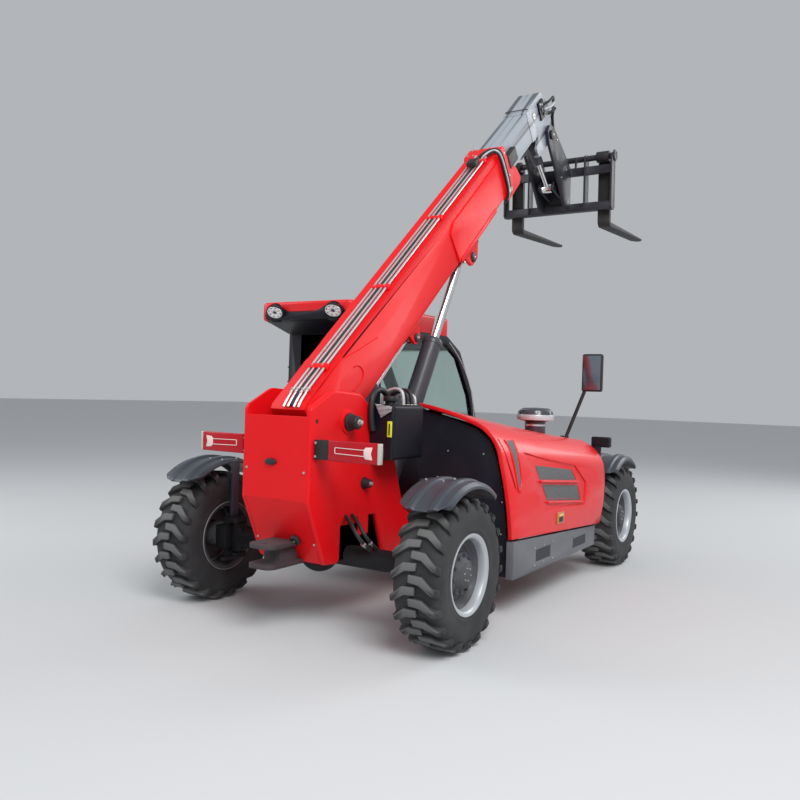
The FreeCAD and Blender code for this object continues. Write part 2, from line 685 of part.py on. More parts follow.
def roof_overhang():
    """Black underside behind the cab, with the two round lamp bodies in its rear face."""
    y0, y1 = CAB_RIGHT_Y + 22, CAB_LEFT_Y - 22
    x0 = ROOF_REAR_X + 10
    body = side_prism([(x0, ROOF_LAMP_Z + 4), (x0, 1878), (x0 + 90, 1856), (CAB_REAR_X - 40, 1802),
                       (CAB_REAR_X + 5, 1802), (CAB_REAR_X + 5, ROOF_LAMP_Z + 4)], y0, y1)
    lamps = []
    for y in ROOF_LAMPS_Y:
        lamps.append(rod((ROOF_REAR_X + 2, y, ROOF_LAMP_Z), (x0 + 30, y, ROOF_LAMP_Z), ROOF_LAMP_R))
    return fuse([body] + lamps)


def cab_shell():
    w = CAB_WALL
    whole = side_prism(cab_outline(CAB_REAR_X, CAB_FLOOR_Z, CAB_FRONT, ROOF_Z), CAB_RIGHT_Y, CAB_LEFT_Y)
    hollow = side_prism(cab_outline(CAB_REAR_X + w, CAB_FLOOR_Z + w, CAB_HOLLOW, 1900),
                        CAB_RIGHT_Y + w, CAB_LEFT_Y - w)
    whole = whole.cut(hollow)
    right_window = side_prism(cab_outline(CAB_REAR_X + 70, 1080, WINDOW_EDGE, 1800), CAB_RIGHT_Y - 10,
                              CAB_RIGHT_Y + w + 10)
    whole = whole.cut(right_window)
    door_gap = side_prism(cab_outline(CAB_REAR_X + 70, 660, DOOR_GAP, 1800), CAB_LEFT_Y - w - 10,
                          CAB_LEFT_Y + 10)
    whole = whole.cut(door_gap)
    y0, y1, z0, z1 = REAR_PANE
    whole = whole.cut(box(CAB_REAR_X - 10, CAB_REAR_X + w + 10, y0, y1, z0, z1))
    e = FRONT_PANE_EDGE
    whole = whole.cut(box(CAB_NOSE_X - 540, CAB_NOSE_X + 160, CAB_RIGHT_Y + e, CAB_LEFT_Y - e,
                          FRONT_PANE_BOTTOM, FRONT_PANE_TOP))
    parts = [whole, roof_overhang()]
    for z in HINGE_Z:
        parts.append(Part.makeCylinder(7, 120, V(HINGE_X, HINGE_Y, z - 60), V(0, 0, 1)))
        for z0 in (z - 60, z + 50):
            ear = box(850, 904, CAB_LEFT_Y - 5, 1013, z0, z0 + 10)
            parts.append(ear.cut(box(895, 910, CAB_LEFT_Y - 6, CAB_LEFT_Y + 2, z0 - 1, z0 + 11)))
    return fuse(parts)


def cab_roof():
    y0, y1 = CAB_RIGHT_Y - 5, CAB_LEFT_Y + 5
    front_x = CAB_NOSE_X - 560
    roof = plan_plate([(ROOF_REAR_X, y0, 60), (front_x, y0, 40), (front_x, y1, 40), (ROOF_REAR_X, y1, 60)],
                      ROOF_Z, ROOF_TOP_Z)
    roof = roof.makeFillet(22, [e for e in roof.Edges if all(v.Z > ROOF_TOP_Z - 1 for v in e.Vertexes)])
    pocket = box(ROOF_REAR_X + 10, CAB_REAR_X + 6, y0 + 26, y1 - 26, ROOF_Z - 10, ROOF_LAMP_Z + 5)
    roof = roof.cut(pocket)
    shoulder = ROOF_LAMP_Z + 8
    cuts = [cross_prism([(268, ROOF_Z - 10), (268, ROOF_LAMP_Z), (425, ROOF_LAMP_Z), (470, shoulder),
                         (705, shoulder), (763, ROOF_LAMP_Z), (918, ROOF_LAMP_Z), (918, ROOF_Z - 10)],
                        ROOF_REAR_X - 5, ROOF_REAR_X + 12)]
    for y in ROOF_LAMPS_Y:
        centre = (ROOF_REAR_X - 5, y, ROOF_LAMP_Z)
        cuts.append(rod(centre, (ROOF_REAR_X + 44, y, ROOF_LAMP_Z), ROOF_LAMP_R + 5))
    for c in cuts:
        roof = roof.cut(c)
    corner = cross_prism([(y1 + 5, 1850), (y1 + 5, 1905), (918, 1862), (918, 1850)], ROOF_REAR_X - 5,
                         CAB_REAR_X)
    return roof.cut(corner)


def cab_glass():
    y0 = CAB_RIGHT_Y + 18
    right = side_prism(cab_outline(CAB_REAR_X + 70, 1080, WINDOW_EDGE, 1800), y0, y0 + GLASS_T)
    r0, r1, z0, z1 = REAR_PANE
    rear = box(CAB_REAR_X + 18, CAB_REAR_X + 18 + GLASS_T, r0, r1, z0, z1)
    out = [(-9, FRONT_PANE_BOTTOM), (-15, 1197), (-102, 1416), (-346, 1744), (-408, FRONT_PANE_TOP)]
    back = [(-425, FRONT_PANE_TOP), (-352, 1737), (-109, 1411), (-23, 1195), (-17, FRONT_PANE_BOTTOM)]
    front = side_prism([(CAB_NOSE_X + x, z) for x, z in out + back], CAB_RIGHT_Y + FRONT_PANE_EDGE,
                       CAB_LEFT_Y - FRONT_PANE_EDGE)
    return [right, rear, front]


def door_pane(y0, y1):
    return side_prism(cab_outline(CAB_REAR_X + 130, 1080, DOOR_PANE_EDGE, 1740), y0, y1)


def cab_door():
    w = CAB_WALL
    panel = side_prism(cab_outline(CAB_REAR_X + 78, 668, DOOR_EDGE, 1792), CAB_LEFT_Y - w + 5, CAB_LEFT_Y)
    door = panel.cut(door_pane(CAB_LEFT_Y - w - 10, CAB_LEFT_Y + 10))
    handle = box(2060, 2190, CAB_LEFT_Y - 4, CAB_LEFT_Y + 26, 985, 1010)
    door = fuse([door, handle.cut(box(2080, 2170, CAB_LEFT_Y, CAB_LEFT_Y + 14, 980, 1015))])
    for z in HINGE_Z:
        barrel = Part.makeCylinder(14, 90, V(HINGE_X, HINGE_Y, z - 45), V(0, 0, 1))
        strap = box(896, 960, 989, 997, z - 40, z + 40)
        pad = box(916, 955, CAB_LEFT_Y - 4, 991, z - 40, z + 40)
        door = fuse([door, barrel, strap, pad])
        door = door.cut(Part.makeCylinder(7.5, 140, V(HINGE_X, HINGE_Y, z - 70), V(0, 0, 1)))
    return door


def door_glass():
    y0 = CAB_LEFT_Y - CAB_WALL + 20
    return door_pane(y0, y0 + GLASS_T)


def seat():
    floor = CAB_FLOOR_Z + CAB_WALL
    base = box(1150, 1550, 440, 760, floor, 900)
    cushion = side_plate([(1120, 900, 0), (1120, 1020, 20), (1620, 1030, 50), (1620, 900, 20)], 370, 830)
    back = side_plate([(1050, 1000, 20), (1185, 1000, 0), (1130, 1560, 30), (1030, 1560, 30)], 380, 820)
    return fuse([base, cushion, back])


def steering_column():
    foot_x = CAB_NOSE_X - 285
    top = V(foot_x - 240, 600, 1195)
    tilt = V(-230, 0, 520).normalize()
    column = Part.makeCylinder(38, 640, top - tilt * 650, tilt)
    column = column.common(box(foot_x - 500, foot_x + 200, 400, 800, CAB_FLOOR_Z + CAB_WALL, 1300))
    column = column.fuse(Part.makeCylinder(20, 40, top - tilt * 30, tilt))
    ring = []
    for k in range(6):
        a = math.pi * k / 3
        ring.append(top + V(0, 1, 0) * (175 + 15 * math.cos(a)) + tilt * (15 * math.sin(a)))
    wheel = Part.Face(Part.makePolygon(ring + [ring[0]])).revolve(top, tilt, 360)
    spoke = Part.makeCylinder(12, 350, top - V(0, 175, 0), V(0, 1, 0))
    return fuse([column, wheel, spoke])


def left_tank():
    front_x = WHEELBASE - 626
    tank = box(760, front_x, 300, 960, 300, 400)
    return tank.makeFillet(20, [e for e in tank.Edges if all(v.Z < 301 for v in e.Vertexes)])


# Boom
def boom_outer():
    b, t = BOOM_BOTTOM, BOOM_TOP
    h = BOOM_HALF_W
    front = BOOM_FRONT_S
    body = boom_prism([(-166, 40), (-166, 250), (-130, t), (front, t), (front, b), (-60, b)], -h, h)
    parts = [body, cross_pin(PIVOT, -PLATE_IN_Y + 7, PLATE_IN_Y - 7, 75)]
    collar_corners = [(COLLAR_S, b - 47, 25), (COLLAR_S, t + 10, 25), (front, t + 10, 25),
                      (front, b - 47, 25)]
    collar = boom_plate(collar_corners, -h - 25, h + 25)
    parts.append(collar)
    nose = [(front - 10, 200, 0), (front + 130, 0, 40), (front + 170, b - 10, 30), (front + 100, b - 42, 20),
            (front - 10, b - 42, 0)]
    cheek = [(1900, b, 0), (1900, 150, 30), (1990, 200, 60), (COLLAR_S + 5, 200, 0), (COLLAR_S + 5, b, 0)]
    doubler = [(-160, 45, 0), (-160, 250, 30), (280, t - 3, 60), (430, 205, 60), (680, 130, 40),
               (790, b + 5, 60), (-55, b + 5, 30)]
    strip = [(1925, b - 12, 0), (1925, b + 20, 0), (2680, b + 20, 0), (2680, b - 12, 0)]
    plates = [
        # outline, inner y on the left side, outer y
        (nose, h - 5, h + 25), (cheek, h - 1, h + CHEEK_T - 1), (doubler, h - 1, h + DOUBLER_T),
        (strip, h - 12, h + CHEEK_T + 6),
        ([(front + 10, 60, 15), (front + 10, 170, 15), (front + 195, 170, 15), (front + 195, 60, 15)],
         INNER_HALF_W + 4, h + 30),
        ([(1990, b + 10, 0), (2080, -235, 30), (2200, -235, 30), (2330, b + 10, 0)], 95, 120),
        ([(1030, b + 10, 0), (1080, -240, 25), (1160, -240, 25), (1240, b + 10, 0)], 60, 85),
    ]
    for shape, y0, y1 in plates:
        parts.append(boom_plate(shape, y0, y1))
        parts.append(boom_plate(shape, -y1, -y0))
    whole = fuse(parts)
    w = BOOM_WALL
    whole = whole.cut(boom_prism([(450, b + w), (450, t - w), (3300, t - w), (3300, b + w)], -h + w, h - w))
    whole = whole.cut(boom_prism([(1500, b - 20), (1500, b + 20), (2480, b + 20), (2480, b - 20)], -88, 88))
    lining = []
    gap = RUNNING_GAP
    s0, s1 = COLLAR_S + 20, front - 5
    for y in (-100, 40):
        for wall_t, inner_t in ((b + 8, INNER_BOTTOM - gap), (t - 8, INNER_TOP + gap)):
            lining.append(boom_prism([(s0, wall_t), (s0, inner_t), (s1, inner_t), (s1, wall_t)], y, y + 60))
    side_pad = [(s0, 40), (s0, 200), (s1, 200), (s1, 40)]
    lining.append(boom_prism(side_pad, -h + w - 5, -INNER_HALF_W - gap))
    lining.append(boom_prism(side_pad, INNER_HALF_W + gap, h - w + 5))
    whole = fuse([whole] + lining)
    whole = whole.cut(cross_pin(PIVOT, -300, 300, PIVOT_R + 1))
    whole = whole.cut(cross_pin(boom_xz(*LIFT_EYE_ST), -140, 140, LIFT_PIN_R + 1))
    return whole.cut(cross_pin(boom_xz(*COMP_EYE_ST), -140, 140, COMP_PIN_R + 1))


def boom_inner():
    w = INNER_WALL
    h = INNER_HALF_W
    b, t = INNER_BOTTOM, INNER_TOP
    parts = [boom_prism([(INNER_REAR_S, b), (INNER_REAR_S, t), (HEAD_S + 20, t), (HEAD_S + 160, b)], -h, h)]
    parts.append(boom_prism([(HEAD_S - 50, b - 8), (HEAD_S - 50, t + 8), (HEAD_S + 16, t + 8),
                             (HEAD_S + 156, b - 8)], -h - 6, h + 6))
    whole = fuse(parts)
    bore = boom_prism([(INNER_REAR_S - 10, b + w), (INNER_REAR_S - 10, t - w), (HEAD_S + 300, t - w),
                       (HEAD_S + 300, b + w)], -h + w, h - w)
    whole = whole.cut(bore)
    parts = [whole]
    shoe = BOOM_BOTTOM + BOOM_WALL + RUNNING_GAP
    for y in (-h - 7, h - 15):
        parts.append(boom_prism([(INNER_REAR_S + 5, shoe), (INNER_REAR_S + 5, 30), (INNER_REAR_S + 125, 30),
                                 (INNER_REAR_S + 125, shoe)], y, y + 22))
    head = [(HEAD_S, t + 17, 0), (4220, t + 25, 40), (4320, 90, 60), (4320, -10, 60), (4230, -175, 50),
            (4080, -190, 40), (3840, -190, 30), (HEAD_S, -100, 0), (HEAD_S + 145, b - 2, 0)]
    for y in (-h - 2, h - 20):
        parts.append(boom_plate(head, y, y + 22))
    cap = [(HEAD_S, t - 1), (HEAD_S, t + 17), (4200, t + 24), (4200, t + 7)]
    parts.append(boom_prism(cap, -h - 2, h + 2))
    parts.append(boom_prism([(3845, -190), (3845, -178), (3990, -178), (3990, -190)], -h - 2, -60))
    parts.append(boom_prism([(3845, -190), (3845, -178), (3990, -178), (3990, -190)], 60, h + 2))
    whole = fuse(parts)
    whole = whole.cut(boom_prism([(3745, b - 20), (3745, 100), (4030, 100), (4030, b - 20)], -h + 20, h - 20))
    whole = whole.cut(cross_pin(boom_xz(*HEAD_PIN), -200, 200, HEAD_PIN_R + 1))
    return fuse([whole, cross_pin(boom_xz(*TILT_BASE_ST), -h - 2, h + 2, TILT_PIN_R)])


def boom_pipes():
    pipes = []
    top = BOOM_TOP
    bend = (120.0, top + 22)
    for y in (-82, -50, -8, 24):
        a = boom_xz(*bend)
        b = boom_xz(COLLAR_S - 5, top + 22)
        pipes.append(rod((a[0], y, a[1]), (b[0], y, b[1]), PIPE_R))
        c = boom_xz(20.0, top + 8)
        pipes.append(rod((c[0], y, c[1]), (a[0], y, a[1]), PIPE_R))
        pipes.append(Part.makeSphere(PIPE_R, V(a[0], y, a[1])))
    for s in (160, 1000, 1900, 2800):
        pipes.append(boom_prism([(s, top), (s, top + 32), (s + 40, top + 32), (s + 40, top)], -98, 40))
    return fuse(pipes)


# Cylinders: the rod runs in the barrel's bore and its eye meets the far lug
def on_line(p, q, d):
    ux, uz = q[0] - p[0], q[1] - p[1]
    n = math.hypot(ux, uz)
    return (p[0] + ux / n * d, p[1] + uz / n * d)


def cylinder(base, eye, barrel, closing, r_barrel, r_rod, r_pin, half):
    def line_rod(d0, d1, r):
        a = on_line(base, eye, d0)
        b = on_line(base, eye, d1)
        return rod((a[0], 0, a[1]), (b[0], 0, b[1]), r)

    length = math.hypot(eye[0] - base[0], eye[1] - base[1])
    foot_r = r_pin + 24
    bore_start = foot_r + 6
    rod_start = bore_start + closing + 10
    body = fuse([line_rod(r_pin + 8, barrel, r_barrel), line_rod(barrel - 45, barrel, r_barrel + 4),
                 cross_pin(base, -half, half, foot_r)])
    body = body.cut(line_rod(bore_start, barrel + 10, r_rod + RUNNING_GAP))
    body = body.cut(cross_pin(base, -half - 5, half + 5, r_pin + 1))
    stem = fuse([line_rod(rod_start, length - r_pin - 8, r_rod), cross_pin(eye, -half, half, r_pin + 22)])
    return body, stem.cut(cross_pin(eye, -half - 5, half + 5, r_pin + 1))


# Carriage and forks
def raised(shape):
    px, pz = boom_xz(*HEAD_PIN)
    turned_up = shape.copy()
    turned_up.rotate(V(px, 0, pz), V(0, 1, 0), -FORK_RISE_DEG)
    return turned_up


def carriage():
    hw = CARRIAGE_HALF_W
    x = CARRIAGE_X
    tube = (x, CARRIAGE_TUBE_Z)
    parts = []
    cheek = [(3060, 3850, 30), (3100, 3915, 30), (3200, 3925, 40), (x - 30, 3640, 40), (x - 30, 3240, 0),
             (3560, 3215, 30), (3430, 3380, 40), (3100, 3740, 50)]
    for y in (-142, 117):
        parts.append(side_plate(cheek, y, y + 25))
    parts.append(box(x - 50, x + 25, -hw, hw, 3210, 3290))
    parts.append(box(x - 40, x - 5, -hw + 10, hw - 10, 3560, 3640))
    top = CARRIAGE_TUBE_Z + 48
    end = [(x - 65, 3225, 10), (x - 65, top - 30, 45), (x + 40, top, 40), (x + 40, 3225, 10)]
    for y in (-hw, -300, 282, hw - 18):
        parts.append(side_plate(end, y, y + 18))
    parts.append(cross_pin(tube, -hw, hw, CARRIAGE_TUBE_R))
    for y0, y1 in ((-hw - 8, -hw), (hw, hw + 8)):
        parts.append(cross_pin(tube, y0, y1, 56))
    parts.append(box(x - 45, x - 30, -142, 142, 3240, 3640))
    guard = [(x - 40, 3640, 0), (x - 40, top - 30, 0), (x - 12, top - 30, 0), (x - 12, 3640, 0)]
    for y in (-200, 182):
        parts.append(side_plate(guard, y, y + 18))
    ex, ez = raised_xz(TILT_EYE[0], TILT_EYE[1], -FORK_RISE_DEG)
    lug_shape = [(ex - 50, ez - 20, 40), (ex - 30, ez + 55, 40), (ex + 60, ez + 70, 0), (x - 35, ez + 140, 0),
                 (x - 35, ez - 90, 0)]
    for y in (-80, 55):
        parts.append(side_plate(lug_shape, y, y + 25))
    for y0, y1 in ((-152, -INNER_HALF_W + 20), (INNER_HALF_W - 20, 152)):
        parts.append(cross_pin(boom_xz(*HEAD_PIN), y0, y1, HEAD_PIN_R))
    whole = fuse(parts)
    return raised(whole.cut(cross_pin((ex, ez), -120, 120, TILT_PIN_R + 1)))


def forks():
    out = []
    x0 = CARRIAGE_X + 45
    x1 = x0 + FORK_T
    for y in (-FORK_Y, FORK_Y):
        y0, y1 = y - FORK_W / 2, y + FORK_W / 2
        blade = side_plate([(x0, FORK_HEEL_Z, 60), (FORK_TIP_X, FORK_HEEL_Z + 36, 0),
                            (FORK_TIP_X, FORK_HEEL_Z + 46, 0), (x1, FORK_HEEL_Z + 46, 20),
                            (x1, CARRIAGE_TUBE_Z, 0), (x0, CARRIAGE_TUBE_Z, 0)], y0, y1)
        tip = FORK_TIP_X + 1
        for side in (-1, 1):
            edge = y + side * (FORK_W / 2 + 1)
            corner = plan_prism([(tip - 90, edge), (tip, edge), (tip, edge - side * 36)],
                                FORK_HEEL_Z, FORK_HEEL_Z + 60)
            blade = blade.cut(corner)
        sleeve = cross_pin((CARRIAGE_X, CARRIAGE_TUBE_Z), y0, y1, 52)
        whole = fuse([blade, sleeve])
        out.append(raised(whole.cut(cross_pin((CARRIAGE_X, CARRIAGE_TUBE_Z), y0 - 5, y1 + 5,
                                              CARRIAGE_TUBE_R + RUNNING_GAP))))
    return out


MIRROR_X = HOOD_X1 - 38
CLEANER_X = HOOD_X1 - 315


def mirror(lid_body):
    base, elbow = (MIRROR_X, -688, 1040), (MIRROR_X, -840, 1440)
    post = fuse([rod(base, elbow, 14), rod(elbow, (MIRROR_X, -850, 1700), 14),
                 Part.makeSphere(14, V(*elbow)), rod((MIRROR_X, -688, 1050), (MIRROR_X, -691, 1086), 34)])
    head = box(MIRROR_X - 22, MIRROR_X + 22, -985, -821, 1446, 1742)
    head = head.makeFillet(16, head.Edges)
    whole = fuse([post, head]).cut(lid_body)
    return max(whole.Solids, key=lambda s: s.CenterOfMass.z)


def precleaner(lid_body):
    x, y = CLEANER_X, -550
    profile = [(0, 1040), (80, 1040), (80, 1195), (110, 1205), (138, 1212), (140, 1250), (128, 1285),
               (95, 1304), (0, 1310)]
    pts = [V(x + r, y, z) for r, z in profile]
    whole = Part.Face(Part.makePolygon(pts + [pts[0]])).revolve(V(x, y, 0), V(0, 0, 1), 360)
    whole = whole.cut(lid_body)
    return max(whole.Solids, key=lambda s: s.CenterOfMass.z)


def build():
    tyre = tyre_left()
    for name, x, side in (("rear_left", 0.0, 1), ("rear_right", 0.0, -1),
                          ("front_left", WHEELBASE, 1), ("front_right", WHEELBASE, -1)):
        placed = tyre.copy() if side > 0 else mirror_y(tyre)
        placed.translate(V(x, 0, 0))
        export("tyre_" + name, [placed])
        export("rim_" + name, [fuse([rim(x, side), hub(x, side)])])
        export("knuckle_" + name, [knuckle(x, side)])
        export("fender_" + name, [fender(x, side)])
    export("axles", [axle(0.0), axle(WHEELBASE)])
    export("chassis_frame", [fuse([chassis()] + fixed_pins())])
    export("tow_hitch", [hitch()])
    lid = hood_lid()
    export("hood_lid", [lid])
    export("hood_frame", [hood_frame()])
    export("side_skirts", [side_skirt(), left_tank()])
    export("engine_block", [engine()])
    export("rear_tank", [rear_tank()])
    export("tail_lamps", [tail_lamp(*row) for row in TAIL_LAMPS])
    export("cab_shell", [cab_shell()])
    export("cab_roof", [cab_roof()])
    export("cab_glass", cab_glass())
    export("cab_door", [cab_door()])
    export("door_glass", [door_glass()])
    export("seat", [seat()])
    export("steering_column", [steering_column()])
    export("boom_outer", [boom_outer()])
    export("boom_pipes", [boom_pipes()])
    export("boom_inner", [boom_inner()])
    for name, base, eye, barrel, closing, r_barrel, r_rod, r_pin, half in (
        ("lift", LIFT_BASE, boom_xz(*LIFT_EYE_ST), LIFT_BARREL, LIFT_CLOSING, 70, 37, LIFT_PIN_R, 55),
        ("comp", COMP_BASE, boom_xz(*COMP_EYE_ST), COMP_BARREL, COMP_CLOSING, 38, 20, COMP_PIN_R, 50),
        ("tilt", boom_xz(*TILT_BASE_ST), TILT_EYE, TILT_BARREL, TILT_CLOSING, 42, 22, TILT_PIN_R, 45),
    ):
        body, stem = cylinder(base, eye, barrel, closing, r_barrel, r_rod, r_pin, half)
        export(name + "_barrel", [body])
        export(name + "_rod", [stem])
    export("carriage", [carriage()])
    export("forks", forks())
    lid_body = hood_sheet(0, HOOD_T + 200)
    export("mirror", [mirror(lid_body)])
    export("precleaner", [precleaner(lid_body)])


build()
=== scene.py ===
import json
import math

import bpy
from mathutils import Matrix, Vector

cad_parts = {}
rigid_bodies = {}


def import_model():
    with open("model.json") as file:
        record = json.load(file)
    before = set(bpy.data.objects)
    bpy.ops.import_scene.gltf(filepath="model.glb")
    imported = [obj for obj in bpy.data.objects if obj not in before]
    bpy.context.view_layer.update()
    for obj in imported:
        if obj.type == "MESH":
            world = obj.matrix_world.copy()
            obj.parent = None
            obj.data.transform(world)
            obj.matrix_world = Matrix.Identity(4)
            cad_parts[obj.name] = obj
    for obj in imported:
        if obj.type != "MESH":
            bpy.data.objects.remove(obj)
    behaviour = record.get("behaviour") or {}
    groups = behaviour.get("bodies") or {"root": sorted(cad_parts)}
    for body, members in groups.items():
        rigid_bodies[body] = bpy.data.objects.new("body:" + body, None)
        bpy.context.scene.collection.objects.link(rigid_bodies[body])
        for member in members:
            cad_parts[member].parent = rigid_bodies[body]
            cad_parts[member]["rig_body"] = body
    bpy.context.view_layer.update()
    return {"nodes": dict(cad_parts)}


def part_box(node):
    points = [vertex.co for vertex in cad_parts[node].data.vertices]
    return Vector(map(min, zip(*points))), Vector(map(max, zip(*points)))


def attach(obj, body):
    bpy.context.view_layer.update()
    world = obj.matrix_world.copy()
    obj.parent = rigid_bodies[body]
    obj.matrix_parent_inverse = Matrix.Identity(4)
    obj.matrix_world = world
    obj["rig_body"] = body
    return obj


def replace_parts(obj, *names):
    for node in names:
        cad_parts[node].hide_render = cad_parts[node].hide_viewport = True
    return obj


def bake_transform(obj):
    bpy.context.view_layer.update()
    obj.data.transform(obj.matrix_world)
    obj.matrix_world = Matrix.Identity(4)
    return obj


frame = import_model()
nodes = frame["nodes"]

# Camera
# The photograph's own place: behind the machine on its engine side, at eye height,
# looking forward along it. Places count from the ground under the rear axle.
tyre_low, tyre_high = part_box("tyre_rear_left")
REAR_AXLE_X = (tyre_low.x + tyre_high.x) / 2
CAMERA_PLACE = Vector((REAR_AXLE_X - 3.8338, -2.9167, 1.3718))
CAMERA_RIGHT = Vector((0.52768, -0.84880, 0.03294))
CAMERA_UP = Vector((-0.01184, 0.03142, 0.99944))
camera_data = bpy.data.cameras.new("camera")
camera_data.sensor_width = 36.0
camera_data.lens = 35.70
camera = bpy.data.objects.new("camera", camera_data)
bpy.context.scene.collection.objects.link(camera)
camera_axes = Matrix((CAMERA_RIGHT, CAMERA_UP, CAMERA_RIGHT.cross(CAMERA_UP))).transposed()
camera.matrix_world = Matrix.Translation(CAMERA_PLACE) @ camera_axes.to_4x4()
bpy.context.scene.camera = camera
bpy.context.scene.view_settings.view_transform = "Standard"

# Floor and light
# A plain pale floor under soft studio lamps: a broad one above and behind the camera,
# a weaker one on the cab side, and a pale world round both.
FLOOR_HALF = 60.0
bpy.ops.object.select_all(action="DESELECT")
bpy.ops.mesh.primitive_plane_add(size=2 * FLOOR_HALF)
floor = bpy.context.object
floor.name = "floor"
floor_finish = bpy.data.materials.new("floor")
floor_finish.use_nodes = True
floor_shader = floor_finish.node_tree.nodes["Principled BSDF"]
floor_shader.inputs["Base Color"].default_value = (0.60, 0.61, 0.62, 1)
floor_shader.inputs["Roughness"].default_value = 0.9
floor.data.materials.append(floor_finish)

world = bpy.data.worlds.new("studio")
bpy.context.scene.world = world
world.use_nodes = True
world.node_tree.nodes["Background"].inputs["Color"].default_value = (0.86, 0.89, 0.93, 1)
world.node_tree.nodes["Background"].inputs["Strength"].default_value = 0.52
for name, place, watts, size in (
    ("key", (-6.5, -6.0, 8.0), 800.0, 5.0),
    ("fill", (-5.0, 7.0, 5.0), 220.0, 5.0),
    ("front", (7.0, -5.0, 6.0), 300.0, 5.0),
):
    lamp_data = bpy.data.lights.new(name, "AREA")
    lamp_data.energy = watts
    lamp_data.size = size
    lamp = bpy.data.objects.new(name, lamp_data)
    lamp.location = place
    lamp.rotation_euler = (Vector((0, 0, 1)) - Vector(place)).to_track_quat("-Z", "Y").to_euler()
    bpy.context.scene.collection.objects.link(lamp)


# Chassis
# A welded frame of two tall side plates and a folded tail plate, sprayed gloss red.
# Its cut edges are ground round, and road dust lies low on it.
def feed(tree, made, sockets):
    """Sets each socket of a shader node, or wires it to another node's output."""
    for name, value in sockets.items():
        if isinstance(value, bpy.types.NodeSocket):
            tree.links.new(value, made.inputs[name])
        else:
            made.inputs[name].default_value = value


USED_OUTPUTS = {
    "TexCoord": "Object", "TexNoise": "Fac", "TexWave": "Fac", "SeparateXYZ": "Z", "CombineXYZ": "Vector",
    "Mapping": "Vector", "VectorMath": "Value", "Math": "Value", "MapRange": "Result", "Mix": "Result",
    "Bump": "Normal",
}


def shade(tree, kind, sockets, **settings):
    """Adds a shader node and gives the output that is used of it."""
    made = tree.nodes.new("ShaderNode" + kind)
    for setting, value in settings.items():
        setattr(made, setting, value)
    feed(tree, made, sockets)
    return made.outputs[USED_OUTPUTS[kind]]


def painted(name, colour, dust, roughness, dusting=0.3, coat=0.3, metallic=0.0,
            peel_depth=0.0015, peel_scale=220.0, shine=0.5):
    """Sprayed paint with orange peel, clouded by dust that grows towards the ground."""
    finish = bpy.data.materials.new(name)
    finish.use_nodes = True
    tree = finish.node_tree
    place = shade(tree, "TexCoord", {})
    cloud = shade(tree, "TexNoise", {"Vector": place, "Scale": 3.1, "Detail": 7.0, "Roughness": 0.65})
    height = shade(tree, "SeparateXYZ", {"Vector": place})
    low = shade(tree, "MapRange", {"Value": height, "From Min": 1.3, "From Max": 0.2, "To Min": 0.25})
    spread = shade(tree, "MapRange", {"Value": cloud, "From Min": 0.42, "From Max": 0.78, "To Max": dusting})
    share = shade(tree, "Math", {0: low, 1: spread}, operation="MULTIPLY")
    mix = shade(tree, "Mix", {"A": (*colour, 1), "B": (*dust, 1), "Factor": share}, data_type="RGBA")
    rough = shade(tree, "MapRange", {
        "Value": cloud, "To Min": roughness, "To Max": min(1.0, roughness + 0.3)})
    peel = shade(tree, "TexNoise", {"Vector": place, "Scale": peel_scale})
    bump = shade(tree, "Bump", {"Height": peel, "Strength": 0.08, "Distance": peel_depth})
    feed(tree, tree.nodes["Principled BSDF"], {
        "Base Color": mix,
        "Roughness": rough,
        "Normal": bump,
        "Metallic": metallic,
        "Coat Weight": coat,
        "Coat Roughness": 0.12,
        "Specular IOR Level": shine,
    })
    return finish


def alone(piece):
    """Selects one piece and nothing else."""
    bpy.ops.object.select_all(action="DESELECT")
    piece.select_set(True)
    bpy.context.view_layer.objects.active = piece


def finish_edges(piece, edge, sharp=38.0):
    """Rounds the sharp edges and shades the rest smooth."""
    alone(piece)
    if edge:
        bevel = piece.modifiers.new("edge", "BEVEL")
        bevel.limit_method = "ANGLE"
        bevel.angle_limit = math.radians(sharp)
        bevel.width = edge
        bevel.segments = 2
        bevel.use_clamp_overlap = False
        bpy.ops.object.modifier_apply(modifier=bevel.name)
    bpy.ops.object.shade_smooth_by_angle(angle=math.radians(sharp))


def finished(node, coating, edge=0.003, sharp=38.0):
    """The node's own form, merged, with its edges rounded."""
    piece = bpy.data.objects.new(node + "_finished", nodes[node].data.copy())
    bpy.context.scene.collection.objects.link(piece)
    alone(piece)
    bpy.ops.mesh.customdata_custom_splitnormals_clear()
    bpy.ops.object.mode_set(mode="EDIT")
    bpy.ops.mesh.select_all(action="SELECT")
    bpy.ops.mesh.remove_doubles(threshold=0.00005)
    bpy.ops.mesh.mark_sharp(clear=True)
    bpy.ops.mesh.dissolve_limited(angle_limit=math.radians(0.6))
    bpy.ops.object.mode_set(mode="OBJECT")
    finish_edges(piece, edge, sharp)
    piece.data.materials.clear()
    piece.data.materials.append(coating)
    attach(piece, nodes[node]["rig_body"])
    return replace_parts(piece, node)


def at(x, y, z):
    """A place measured from the ground under the rear axle."""
    return Vector((REAR_AXLE_X + x, y, z))


red_paint = painted("red_paint", (0.80, 0.004, 0.008), (0.45, 0.05, 0.04), 0.34, 0.10, 0.10, shine=0.22)
# A smaller angle than the tail plate's fold, in degrees, so that the fold stays an edge.
TAIL_SHARP = 22.0
finished("chassis_frame", red_paint, 0.0025, TAIL_SHARP)

